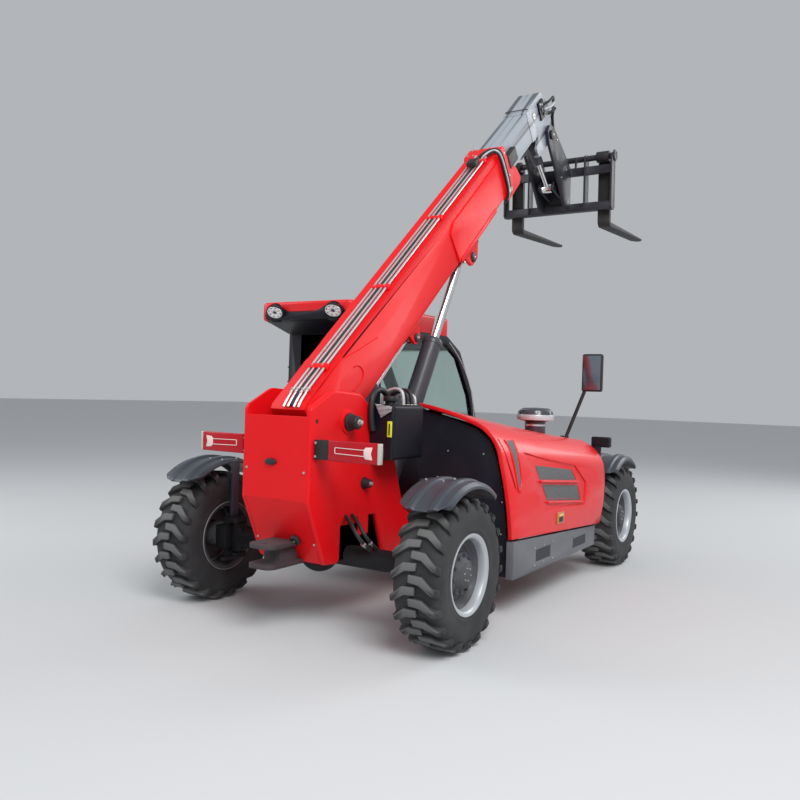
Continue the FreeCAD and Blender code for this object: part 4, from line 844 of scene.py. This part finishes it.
LATCH_Z = 0.553
LATCH_PARTS = (
    # name, half its length, low and high z, how far out, finish
    ("frame", 0.062, 0.514, 0.592, 0.009, latch_brown),
    ("well", 0.040, 0.524, 0.560, 0.0105, black_plastic),
    ("paddle", 0.040, 0.564, 0.580, 0.0125, latch_pale),
)
latch_y = hood_side(LATCH_X, LATCH_Z)
for name, half, low, high, out, finish in LATCH_PARTS:
    rear_low = at(LATCH_X - half, latch_y - out, low)
    front_high = at(LATCH_X + half, latch_y + 0.008, high)
    block("hood_latch_" + name, rear_low, front_high, 0.0025, finish, "hood")

# Details of the rear tank
# The oil tank has a screw cap with a grip, an oval sight glass, a perforated guard
# plate at its upper corner and a thick suction hose that bends over to the pump.
hose_rubber = painted("hose_rubber", (0.010, 0.010, 0.012), (0.1, 0.1, 0.1), 0.42, 0.3, 0.1)
marker_yellow = painted("marker_yellow", (0.72, 0.78, 0.02), (0.5, 0.5, 0.2), 0.35, 0.15, 0.3)
guard_sheet = mesh_sheet("guard_sheet", (0.72, 0.74, 0.76), 42.0, 0.35)
braid_grey = painted("braid_grey", (0.55, 0.56, 0.58), (0.35, 0.34, 0.32), 0.4, 0.35, 0.0, 0.4)
TANK_X = 0.130
GUARD_X = TANK_X - 0.012
block("tank_sight_glass", at(TANK_X - 0.006, -0.405, 1.117), at(TANK_X + 0.004, -0.372, 1.213), 0.0045,
      marker_yellow, "chassis")
block("tank_sight_slot", at(TANK_X - 0.0075, -0.394, 1.130), at(TANK_X, -0.384, 1.198), 0.002, black_plastic,
      "chassis")
GUARD_CORNERS = ((-0.285, 1.316), (-0.408, 1.300), (-0.402, 1.272), (-0.330, 1.232))
guard = plate("tank_guard", [at(GUARD_X, y, z) for y, z in GUARD_CORNERS], (0.002, 0, 0))
fitted(guard, 0.0006, guard_sheet, "chassis")
bolts("tank_guard_screws", [at(GUARD_X, -0.303, 1.303), at(GUARD_X, -0.392, 1.290)], BACKWARD, 0.007, 0.012,
      "chassis")
bolts("tank_side_screw", [at(0.381, -0.4105, 1.045)], RIGHTWARD, 0.011, 0.008, "chassis")
FILLER_PROFILE = ((0.0, 0.0), (0.0, 0.044), (0.006, 0.047), (0.026, 0.045), (0.032, 0.038), (0.034, 0.0))
lathed("filler_cap", FILLER_PROFILE, at(0.215, -0.335, 1.330), UPWARD, 36, 0.002, black_plastic, "chassis")
SUCTION_ROUTE = (
    (0.122, -0.275, 1.155), (0.105, -0.272, 1.20), (0.104, -0.268, 1.29), (0.125, -0.262, 1.375),
    (0.20, -0.258, 1.405), (0.29, -0.256, 1.38), (0.34, -0.262, 1.31),
)
hose("suction_hose", [at(*p) for p in SUCTION_ROUTE], 0.019, hose_rubber, "chassis")
HOSE_ENDS = (
    # x and height of the top of the bend, radius, finish
    (0.335, 1.400, 0.011, braid_grey),
    (0.385, 1.385, 0.011, hose_rubber),
    (0.430, 1.395, 0.012, hose_rubber),
    (0.475, 1.370, 0.010, braid_grey),
)
for number, (x, top, radius, finish) in enumerate(HOSE_ENDS):
    route = (
        (x, -0.352, 1.302), (x, -0.352, 1.345), (x + 0.006, -0.335, top), (x + 0.012, -0.275, top + 0.012),
        (x + 0.016, -0.195, top - 0.02), (x + 0.016, -0.178, top - 0.12), (x + 0.010, -0.176, top - 0.24),
    )
    hose(f"tank_hose_{number}", [at(*p) for p in route], radius, finish, "chassis")
bolts("tank_unions", [at(x, -0.352, 1.308) for x, top, radius, finish in HOSE_ENDS], UPWARD, 0.019, 0.022,
      "chassis")

# Hoses of the rear axle
# Steering and brake hoses hang through the arch of the side plate to unions on the
# axle's beam.
AXLE_ROUTE = (
    (-0.060, -0.215, 0.660), (-0.090, -0.270, 0.640), (-0.120, -0.330, 0.585), (-0.095, -0.370, 0.520),
    (-0.045, -0.385, 0.480),
)
axle_hoses = []
union_places = []
for dx, dy in ((0.0, 0.0), (0.030, -0.035), (-0.030, -0.030)):
    route = [at(x + dx, y + dy, z) for x, y, z in AXLE_ROUTE]
    axle_hoses.append(hose("axle_hose", route, 0.011, hose_rubber, None))
    union_places.append(route[3])
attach(joined(axle_hoses, "axle_hoses"), "chassis")
bolts("axle_unions", union_places, (0.6, -0.1, -0.5), 0.019, 0.036, "chassis")

# Cab
# A welded and bonded steel cell painted satin black, with a moulded roof in gloss red.
# Two oval work lamps sit in a black moulding on the roof's rear edge.
finished("cab_shell", satin_black, 0.003)
finished("cab_door", satin_black, 0.003)
finished("cab_roof", gloss_red, 0.003, 24.0)
finished("steering_column", black_plastic, 0.002)
reflector = painted("lamp_reflector", (0.86, 0.87, 0.88), (0.6, 0.6, 0.6), 0.12, 0.1, 0.5, 0.7)
lamp_dark = painted("lamp_dark", (0.05, 0.055, 0.06), (0.2, 0.2, 0.2), 0.25, 0.1, 0.3)
lamp_white = painted("lamp_white", (0.88, 0.90, 0.90), (0.7, 0.7, 0.7), 0.2, 0.05, 0.6)
ROOF_LAMPS = (
    # y, name
    (0.315, "right"),
    (0.828, "left"),
)
ROOF_LAMP_X = 0.478
ROOF_LAMP_Z = 1.927
LAMP_TURN = Matrix.Rotation(math.radians(-22), 3, "Y")
LAMP_AXIS = LAMP_TURN @ Vector((-1, 0, 0))
LAMP_OVAL = Matrix.Diagonal((1, 1.04, 0.64, 1))
ROOF_LAMP_RINGS = (
    # name, edge, finish, then its profile: out along the lamp's axis, radius
    ("housing", 0.001, satin_black, (
        (-0.060, 0.0), (-0.060, 0.060), (-0.010, 0.074), (0.006, 0.076), (0.008, 0.070), (0.002, 0.066),
        (0.0, 0.0))),
    ("bezel", 0.001, reflector, (
        (-0.001, 0.054), (-0.001, 0.064), (0.008, 0.064), (0.011, 0.061), (0.010, 0.054))),
    ("dish", 0, lamp_dark, (
        (0.0005, 0.0), (0.0005, 0.0575), (0.007, 0.0575), (0.003, 0.030), (0.003, 0.0))),
)
PETAL = ((-0.005, 0.016), (0.005, 0.016), (0.015, 0.038), (0.012, 0.053), (-0.012, 0.053), (-0.015, 0.038))
PETALS = 8
for y, word in ROOF_LAMPS:
    foot = at(ROOF_LAMP_X, y, ROOF_LAMP_Z)
    lamp_parts = [lathed(f"roof_lamp_{name}_{word}", profile, foot, LAMP_AXIS, 48, edge, finish)
                  for name, edge, finish, profile in ROOF_LAMP_RINGS]
    petals = []
    for k in range(PETALS):
        turn = Matrix.Rotation(2 * math.pi * k / PETALS, 3, "X")
        corners = [foot + LAMP_TURN @ (Vector((-0.004, 0, 0)) + turn @ Vector((0, a, b))) for a, b in PETAL]
        petals.append(plate("petal", corners, tuple(LAMP_AXIS * 0.005)))
    lamp_parts.append(fitted(joined(petals, "roof_lamp_petals_" + word), 0.0012, lamp_white))
    for piece in lamp_parts:
        piece.data.transform(about(foot, LAMP_OVAL))
        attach(piece, "chassis")
ARCHES = (
    # y and z round the black moulding behind the two lamps
    (0.930, 1.884), (0.937, 1.913), (0.928, 1.949), (0.903, 1.975), (0.856, 1.985), (0.805, 1.975),
    (0.766, 1.954), (0.732, 1.937), (0.690, 1.930), (0.530, 1.930), (0.490, 1.931), (0.442, 1.946),
    (0.409, 1.965), (0.353, 1.978), (0.297, 1.972), (0.253, 1.948), (0.222, 1.922), (0.222, 1.900),
    (0.300, 1.886), (0.860, 1.872),
)
arches = plate("roof_arches", [at(0.4995, y, z) for y, z in ARCHES], (-0.006, 0, 0))
fitted(arches, 0.0015, satin_black, "chassis")
seal_pale = painted("window_seal", (0.60, 0.62, 0.64), (0.35, 0.35, 0.34), 0.25, 0.2, 0.3, 0.4)
SEAL = (
    # x and z up the curved front edge of the right window
    (2.392, 1.090), (2.396, 1.170), (2.385, 1.255), (2.330, 1.420), (2.242, 1.545), (2.130, 1.662),
    (1.994, 1.759), (1.900, 1.812),
)
hose("window_seal", [at(x, 0.1890, z) for x, z in SEAL], 0.0045, seal_pale, "chassis", 6)

# Windows
# Green-tinted safety glass, with a little road film on the outside.
window_glass = bpy.data.materials.new("window_glass")
window_glass.use_nodes = True
tree = window_glass.node_tree
place = shade(tree, "TexCoord", {})
film = shade(tree, "TexNoise", {"Vector": place, "Scale": 4.0, "Detail": 5.0})
CLEAN_TINT = (0.76, 0.88, 0.84, 1)
FILM_TINT = (0.68, 0.80, 0.77, 1)
tint = shade(tree, "Mix", {"A": CLEAN_TINT, "B": FILM_TINT, "Factor": film}, data_type="RGBA")
haze = shade(tree, "MapRange", {"Value": film, "From Min": 0.5, "To Min": 0.01, "To Max": 0.10})
feed(tree, tree.nodes["Principled BSDF"], {
    "Base Color": tint, "Roughness": haze, "Transmission Weight": 1.0, "IOR": 1.45})
finished("cab_glass", window_glass, 0)
finished("door_glass", window_glass, 0)

# Seat
# A sprung pedestal seat: foam cushions in a woven cover, with two sewn channels each,
# on a black moulded base.
seat_cloth = painted("seat_cloth", (0.022, 0.023, 0.027), (0.12, 0.12, 0.12), 0.8, 0.4, 0.0, peel_depth=0.001,
                     peel_scale=900.0)


def cushion(name, low, high, thin, turn=None):
    """A crowned pad: sides pulled in between the corners, and two channels across it."""
    bpy.ops.object.select_all(action="DESELECT")
    bpy.ops.mesh.primitive_cube_add(size=2)
    piece = bpy.context.object
    piece.name = name
    bpy.ops.object.mode_set(mode="EDIT")
    bpy.ops.mesh.select_all(action="SELECT")
    bpy.ops.mesh.subdivide(number_cuts=23)
    bpy.ops.object.mode_set(mode="OBJECT")
    middle, half = (low + high) / 2, (high - low) / 2
    wide = [k for k in range(3) if k != thin]
    for vertex in piece.data.vertices:
        p = vertex.co.copy()
        a, b = p[wide[0]], p[wide[1]]
        crown = 0.62 + 0.38 * ((1 - a ** 4) * (1 - b ** 4)) ** 0.5
        channel = sum(math.exp(-((b - line) / 0.05) ** 2) for line in (-0.42, 0.42))
        p[thin] *= crown - 0.10 * channel * (1 - a ** 4)
        rounding = 1 - 0.06 * abs(vertex.co[thin]) ** 3
        p[wide[0]] = a * rounding * (1 - 0.035 * (1 - b * b))
        p[wide[1]] = b * rounding * (1 - 0.035 * (1 - a * a))
        vertex.co = middle + Vector([p[k] * half[k] for k in range(3)])
    alone(piece)
    if turn:
        piece.data.transform(turn)
    bpy.ops.object.shade_smooth()
    piece.data.materials.append(seat_cloth)
    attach(piece, "chassis")
    return piece


lean = about(at(1.08, 0.6, 1.02), Matrix.Rotation(math.radians(-3), 4, "Y"))
block("seat_base", at(1.16, 0.45, 0.646), at(1.54, 0.75, 0.905), 0.02, black_plastic, "chassis")
seat_pad = cushion("seat_pad", at(1.125, 0.375, 0.905), at(1.612, 0.825, 1.026), 2)
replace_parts(seat_pad, "seat")
cushion("seat_back", at(1.040, 0.385, 1.035), at(1.165, 0.815, 1.555), 0, lean)

# Outer boom
# A box of bent steel plate, welded along its corners and sprayed gloss red, with
# bolted pins and a heavy collar.
finished("boom_outer", red_paint, 0.0025)
BOOM_ANGLE = math.radians(41.2)
BOOM_TURN = Matrix.Translation(at(-0.06, 0, 1.19)) @ Matrix.Rotation(-BOOM_ANGLE, 4, "Y")
BOOM_WALL_Y = 0.125


def on_boom(s, t, y):
    """A place on the raised boom: s along it, t across it."""
    return BOOM_TURN @ Vector((s, y, t))


BOOM_PINS = (
    # s, t, how far out, radius, body, finish
    (2.140, -0.190, 0.120, 0.040, "boom", black_plastic),
    (1.120, -0.205, 0.085, 0.032, "boom", black_plastic),
    (4.150, -0.120, 0.152, 0.044, "inner_boom", black_plastic),
    (3.930, 0.160, 0.107, 0.032, "inner_boom", zinc),
)
for number, (s, t, out, radius, body, finish) in enumerate(BOOM_PINS):
    profile = ((0.0, 0.0), (0.0, radius), (0.007, radius), (0.010, radius - 0.004), (0.010, 0.0))
    for side, word in SIDES:
        way = Vector((0, side, 0))
        foot = on_boom(s, t, side * (out - 0.001))
        lathed(f"boom_pin_{number}_{word}", profile, foot, way, 32, 0.001, finish, body)
        bolts(f"boom_pin_bolt_{number}_{word}", [foot + way * 0.009], way, 0.014, 0.011, body)
weld = painted("weld_bead", (0.52, 0.010, 0.014), (0.4, 0.14, 0.12), 0.4, 0.25, 0.2)
WELDS = (
    # from s, to s, t
    (0.45, 2.92, 0.262),
    (0.80, 1.88, -0.087),
)
CRADLE = (
    # s and t along the curved bead near the boom's foot
    (0.250, 0.040), (0.349, 0.027), (0.396, 0.045), (0.411, 0.091), (0.381, 0.143), (0.345, 0.150),
)
for side, word in SIDES:
    weld_y = side * (BOOM_WALL_Y + 0.0005)
    cradle_y = side * (BOOM_WALL_Y + 0.0115)
    for number, (s0, s1, t) in enumerate(WELDS):
        weld_route = [on_boom(s, t, weld_y) for s in (s0, (s0 + s1) / 2, s1)]
        hose(f"boom_weld_{number}_{word}", weld_route, 0.0035, weld, "boom", 4)
    hose("boom_cradle_" + word, [on_boom(s, t, cradle_y) for s, t in CRADLE], 0.0045, red_paint, "boom", 6)

# Wear pads and collar fittings
# Black nylon pads stand out of the collar where the inner boom slides, and a row of
# bolts holds them.
top_way = Vector((-math.sin(BOOM_ANGLE), 0, math.cos(BOOM_ANGLE)))
for side, word in SIDES:
    y0, y1 = sorted((side * 0.1065, side * 0.159))
    block("collar_pad_" + word, (3.106, y0, 0.056), (3.298, y1, 0.174), 0.012, black_plastic, "boom",
          BOOM_TURN)
    pad_bolt_places = [on_boom(s, t, side * 0.150) for s in (2.975, 3.055) for t in (0.225, 0.03)]
    bolts("collar_bolts_" + word, pad_bolt_places, (0, side, 0), 0.013, 0.010, "boom")
top_bolt_places = [on_boom(s, 0.275, y) for s in (2.965, 3.065) for y in (0.07, 0.12, -0.125)]
bolts("collar_top_bolts", top_bolt_places, top_way, 0.012, 0.010, "boom")

# Boom pipes
# Four drawn steel pipes, plated bright, run along the top of the boom with a black
# return hose between them. Clamps hold them, and unions join their lower ends.
bright_steel = painted("bright_steel", (0.86, 0.87, 0.88), (0.5, 0.48, 0.45), 0.14, 0.2, 0.0, 0.9)
PIPE_T = 0.287
PIPE_Y = (-0.082, -0.050, -0.008, 0.024)
PIPE_ROUTE = (
    # s and t from the boom's foot up to the collar
    (-0.158, 0.262), (-0.120, 0.2735), (-0.060, 0.281), (-0.010, 0.2865), (0.200, PIPE_T), (1.0, PIPE_T),
    (2.0, PIPE_T), (2.925, PIPE_T),
)
RETURN_ROUTE = ((-0.150, 0.266), (-0.10, 0.276), (0.2, 0.279), (1.0, 0.280), (2.0, 0.280), (2.90, 0.281))
CLAMP_S = (0.160, 1.000, 1.900, 2.800)
pipes = joined([hose(f"boom_pipe_{number}", [on_boom(s, t, y) for s, t in PIPE_ROUTE], 0.008, bright_steel,
                     None, 4) for number, y in enumerate(PIPE_Y)], "boom_pipe_run")
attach(pipes, "boom")
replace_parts(pipes, "boom_pipes")
hose("boom_return_hose", [on_boom(s, t, -0.029) for s, t in RETURN_ROUTE], 0.010, hose_rubber, "boom", 4)
for number, s in enumerate(CLAMP_S):
    block(f"pipe_clamp_{number}", (s, -0.098, 0.265), (s + 0.040, 0.040, 0.297), 0.004, red_paint, "boom",
          BOOM_TURN)
    clamp_bolt_places = [on_boom(s + 0.02, 0.298, y) for y in (-0.066, 0.008)]
    bolts(f"pipe_clamp_bolts_{number}", clamp_bolt_places, top_way, 0.008, 0.007, "boom")
down_boom = -Vector((math.cos(BOOM_ANGLE), 0, math.sin(BOOM_ANGLE)))
union_places = [on_boom(-0.020 - 0.006 * (k % 2), 0.2850, y) for k, y in enumerate(PIPE_Y)]
bolts("pipe_unions", union_places, down_boom, 0.019, 0.036, "boom")
block("boom_top_block", (2.690, -0.070, 0.296), (2.775, 0.012, 0.338), 0.008, hose_rubber, "boom", BOOM_TURN)

# Hoses round the collar
# From the pipe ends, hoses turn over the top of the collar and down its engine side to
# fittings under the boom's nose.
COLLAR_HOSE_STEP = 0.026
COLLAR_FINISHES = (hose_rubber, braid_grey, hose_rubber)
for number, (y, finish) in enumerate(zip(PIPE_Y, COLLAR_FINISHES)):
    step = COLLAR_HOSE_STEP * number
    route = (
        (2.880, 0.287, y), (2.915, 0.292, y - 0.004), (2.936 + step, 0.297, y - 0.045),
        (2.946 + step, 0.294, -0.130), (2.950 + step, 0.262, -0.163), (2.952 + step, 0.120, -0.166),
        (2.944 + step, -0.030, -0.166), (2.915 + step, -0.112, -0.158), (2.885 + step, -0.140, -0.120),
    )
    hose(f"collar_hose_{number}", [on_boom(*p) for p in route], 0.0095, finish, "boom", 10)
union_places = [on_boom(2.944 + COLLAR_HOSE_STEP * k, -0.045, -0.166) for k in range(3)]
bolts("collar_unions", union_places, -top_way, 0.016, 0.034, "boom")

# Boom work lamp
# A small round lamp with a chromed dish hangs on a bent steel bracket under the boom.
block("boom_lamp_bracket", (2.385, -0.030, -0.175), (2.425, 0.030, -0.088), 0.003, satin_black, "boom",
      BOOM_TURN)
BOOM_LAMP_PROFILE = ((0.0, 0.0), (0.0, 0.030), (0.020, 0.048), (0.045, 0.050), (0.048, 0.046), (0.044, 0.0))
BOOM_LENS_PROFILE = ((0.0445, 0.0), (0.0445, 0.042), (0.047, 0.040), (0.050, 0.0))
lamp_foot = on_boom(2.405, -0.168, 0)
lathed("boom_lamp", BOOM_LAMP_PROFILE, lamp_foot, -top_way, 36, 0.001, satin_black, "boom")
lathed("boom_lamp_lens", BOOM_LENS_PROFILE, lamp_foot, -top_way, 36, 0, reflector, "boom")


# Inner boom
# A smaller box of the same steel in satin pale grey. Sliding in its pads has drawn
# long dark grease lines along it.
def streaked(name, colour, streak, roughness):
    """Satin paint with thin lines drawn along the boom."""
    finish = painted(name, colour, (0.35, 0.36, 0.37), roughness, 0.3, 0.2)
    tree = finish.node_tree
    place = next(n for n in tree.nodes if n.type == "TEX_COORD").outputs["Object"]
    level = shade(tree, "Mapping", {"Vector": place, "Rotation": (0, BOOM_ANGLE, 0)})
    stretch = shade(tree, "Mapping", {"Vector": level, "Scale": (0.30, 21.0, 21.0)})
    lines = shade(tree, "TexNoise", {"Vector": stretch, "Scale": 1.0, "Detail": 3.0})
    share = shade(tree, "MapRange", {"Value": lines, "From Min": 0.49, "From Max": 0.60, "To Max": 0.85})
    laid_over(finish, streak, share)
    return finish


boom_grey = streaked("boom_grey", (0.34, 0.375, 0.42), (0.045, 0.05, 0.06), 0.32)
finished("boom_inner", boom_grey, 0.002)
HEAD_BOLTS = ((3.86, 0.225), (3.86, 0.10), (3.99, -0.16), (4.02, 0.225))
for side, word in SIDES:
    head_places = [on_boom(s, t, side * 0.107) for s, t in HEAD_BOLTS]
    bolts("boom_head_bolts_" + word, head_places, (0, side, 0), 0.011, 0.009, "inner_boom")
seam_dark = painted("seam_dark", (0.03, 0.032, 0.038), (0.1, 0.1, 0.1), 0.5, 0.3, 0.0)
HEAD_SEAM = (
    # s, t and y of the weld round the back of the head
    (3.842, -0.005, -0.1075), (3.842, 0.130, -0.1075), (3.842, 0.262, -0.1075), (3.836, 0.2705, -0.100),
    (3.834, 0.2705, 0.0), (3.836, 0.2705, 0.100), (3.842, 0.262, 0.1075), (3.842, 0.130, 0.1075),
    (3.842, -0.005, 0.1075),
)
hose("head_seam", [on_boom(*p) for p in HEAD_SEAM], 0.0035, seam_dark, "inner_boom", 4)

# Cylinders
# Honed steel barrels in satin dark paint, screwed glands at their mouths, and hard
# chromed rods. A clipped steel pipe runs along each of the two longer barrels.
cylinder_paint = painted("cylinder_paint", (0.045, 0.048, 0.06), (0.2, 0.19, 0.18), 0.32, 0.4, 0.2)
chrome = painted("chrome_rod", (0.90, 0.90, 0.91), (0.6, 0.6, 0.6), 0.07, 0.06, 0.0, 1.0, 0.0003)
for name in ("lift", "comp", "tilt"):
    finished(name + "_barrel", cylinder_paint, 0.002)
    finished(name + "_rod", chrome, 0.001)
FEEDS = (
    # name, base and eye as (x, z), barrel's length and radius
    ("lift", (0.6125, 0.560), (1.6762, 2.4564), 1.400, 0.070),
    ("comp", (0.060, 0.985), (0.9178, 1.7735), 0.640, 0.038),
)
for name, base, eye, length, radius in FEEDS:
    body = name + "_cylinder_barrel"
    run = Vector((eye[0] - base[0], 0, eye[1] - base[1])).normalized()
    out = Vector((run.z, 0, -run.x))
    foot = at(base[0], 0, base[1])
    far = radius + 0.020
    route = [foot + run * along + out * away for along, away in (
        (0.12, radius - 0.004), (0.12, far), (0.16, far + 0.004), (length * 0.5, far), (length - 0.09, far),
        (length - 0.05, far), (length - 0.05, radius - 0.002))]
    hose(name + "_feed_pipe", route, 0.007, bright_steel, body, 6)
    clips = [foot + run * (length * share) + out * (radius - 0.001) for share in (0.35, 0.7)]
    bolts(name + "_feed_clips", clips, out, 0.012, 0.026, body)

# Carriage and forks
# Flame-cut plates welded to a round top tube and a square lower bar, sprayed black.
# The forged forks hang on the tube, dark from the quench.
carriage_black = painted("carriage_black", (0.013, 0.014, 0.022), (0.12, 0.12, 0.13), 0.4, 0.5, 0.15)
fork_steel = painted("fork_steel", (0.028, 0.028, 0.030), (0.15, 0.13, 0.11), 0.45, 0.6, 0.0, 0.35)
finished("carriage", carriage_black, 0.002)
finished("forks", fork_steel, 0.002)
FORK_RISE = math.radians(2.0)
RISE_TURN = about(on_boom(4.150, -0.120, 0), Matrix.Rotation(-FORK_RISE, 4, "Y"))
RING_PROFILE = (
    # out from the tube's end, radius
    (0.0, 0.0), (0.0, 0.050), (0.006, 0.050), (0.009, 0.046), (0.009, 0.030), (0.005, 0.028), (0.005, 0.0),
)
CARRIAGE_BOLTS = ((3.55, 3.60), (3.42, 3.50), (3.60, 3.30), (3.28, 3.82))
for side, word in SIDES:
    foot = RISE_TURN @ at(3.715, side * 0.571, 3.725)
    lathed("tube_end_" + word, RING_PROFILE, foot, (0, side, 0), 40, 0.001, carriage_black, "fork_carriage")
    stud_places = [RISE_TURN @ at(x, side * 0.142, z) for x, z in CARRIAGE_BOLTS]
    bolts("carriage_bolts_" + word, stud_places, (0, side, 0), 0.012, 0.010, "fork_carriage")
COUPLERS = (
    # s and t of each union on the head, y where the hose meets the carriage, finish
    (4.085, 0.196, -0.070, hose_rubber),
    (4.115, 0.140, -0.035, braid_grey),
    (4.145, 0.084, 0.000, hose_rubber),
)
CARRIAGE_ROUTE = ((3.55, 3.765), (3.63, 3.715), (3.676, 3.655), (3.684, 3.61))
block("head_coupler_block", (4.055, -0.124, 0.060), (4.180, -0.106, 0.222), 0.004, satin_black, "inner_boom",
      BOOM_TURN)
coupler_places = [on_boom(s, t, -0.123) for s, t, y, finish in COUPLERS]
bolts("head_couplers", coupler_places, RIGHTWARD, 0.022, 0.034, "inner_boom")
for number, (s, t, y, finish) in enumerate(COUPLERS):
    route = [on_boom(*p) for p in (
        (s, t, -0.150), (s + 0.03, t, -0.186), (s + 0.12, t - 0.01, -0.190),
        (4.345, t - 0.03, -0.150 + y / 4), (4.420, t - 0.13, -0.080 + y / 2), (4.395, -0.190 + t / 4, y))]
    route += [RISE_TURN @ at(x, y, z) for x, z in CARRIAGE_ROUTE]
    head_hose = hose(f"head_hose_{number}", route, 0.0125, finish, None, 12)
    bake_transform(head_hose)

# Mirror
# A tube arm with a black moulded shell, and a convex mirror face set in a rubber lip.
finished("mirror", black_plastic, 0.0015)
mirror_face = painted("mirror_face", (0.22, 0.26, 0.32), (0.3, 0.32, 0.34), 0.04, 0.15, 0.6, 0.9, 0.0002)
MIRROR_X = 2.2375
block("mirror_glass", at(MIRROR_X, -0.972, 1.460), at(MIRROR_X + 0.005, -0.834, 1.728), 0.0018, mirror_face,
      "hood")

# Air pre-cleaner
# A spun plastic bowl and cap on a rubber neck, with a band clamp and a pale rim.
bowl_smoke = painted("bowl_smoke", (0.045, 0.052, 0.066), (0.2, 0.2, 0.2), 0.14, 0.25, 0.7)
rim_pale = painted("cleaner_rim", (0.66, 0.68, 0.70), (0.4, 0.39, 0.37), 0.2, 0.2, 0.4, 0.3)
finished("precleaner", bowl_smoke, 0.002, 25.0)
CLEANER = (1.985, -0.550)
PALE_RIM_PROFILE = (
    # up the bowl, radius
    (0.0, 0.1360), (0.0, 0.1405), (0.006, 0.1430), (0.034, 0.1450), (0.040, 0.1430), (0.042, 0.1380),
)
CLAMP_PROFILE = ((0.0, 0.0800), (0.0, 0.0835), (0.014, 0.0835), (0.014, 0.0800))
lathed("cleaner_rim", PALE_RIM_PROFILE, at(*CLEANER, 1.212), UPWARD, 64, 0, rim_pale, "hood")
lathed("cleaner_clamp", CLAMP_PROFILE, at(*CLEANER, 1.165), UPWARD, 48, 0, bright_steel, "hood")
RIBS = 24
RIB_HALF = 0.004
RIB_CORNERS = (
    # side, radius, height
    (-1, 0.100, 1.2995), (1, 0.100, 1.2995), (1, 0.136, 1.266), (-1, 0.136, 1.266),
)
cap_ribs = []
for k in range(RIBS):
    angle = 2 * math.pi * k / RIBS
    way = Vector((math.cos(angle), math.sin(angle), 0))
    cross = Vector((-way.y, way.x, 0)) * RIB_HALF
    corners = [at(*CLEANER, z) + way * r + cross * side for side, r, z in RIB_CORNERS]
    cap_ribs.append(plate("cap_rib", corners, (0.0025 * way.x, 0.0025 * way.y, 0.004)))
fitted(joined(cap_ribs, "cleaner_ribs"), 0.0008, bowl_smoke, "hood")
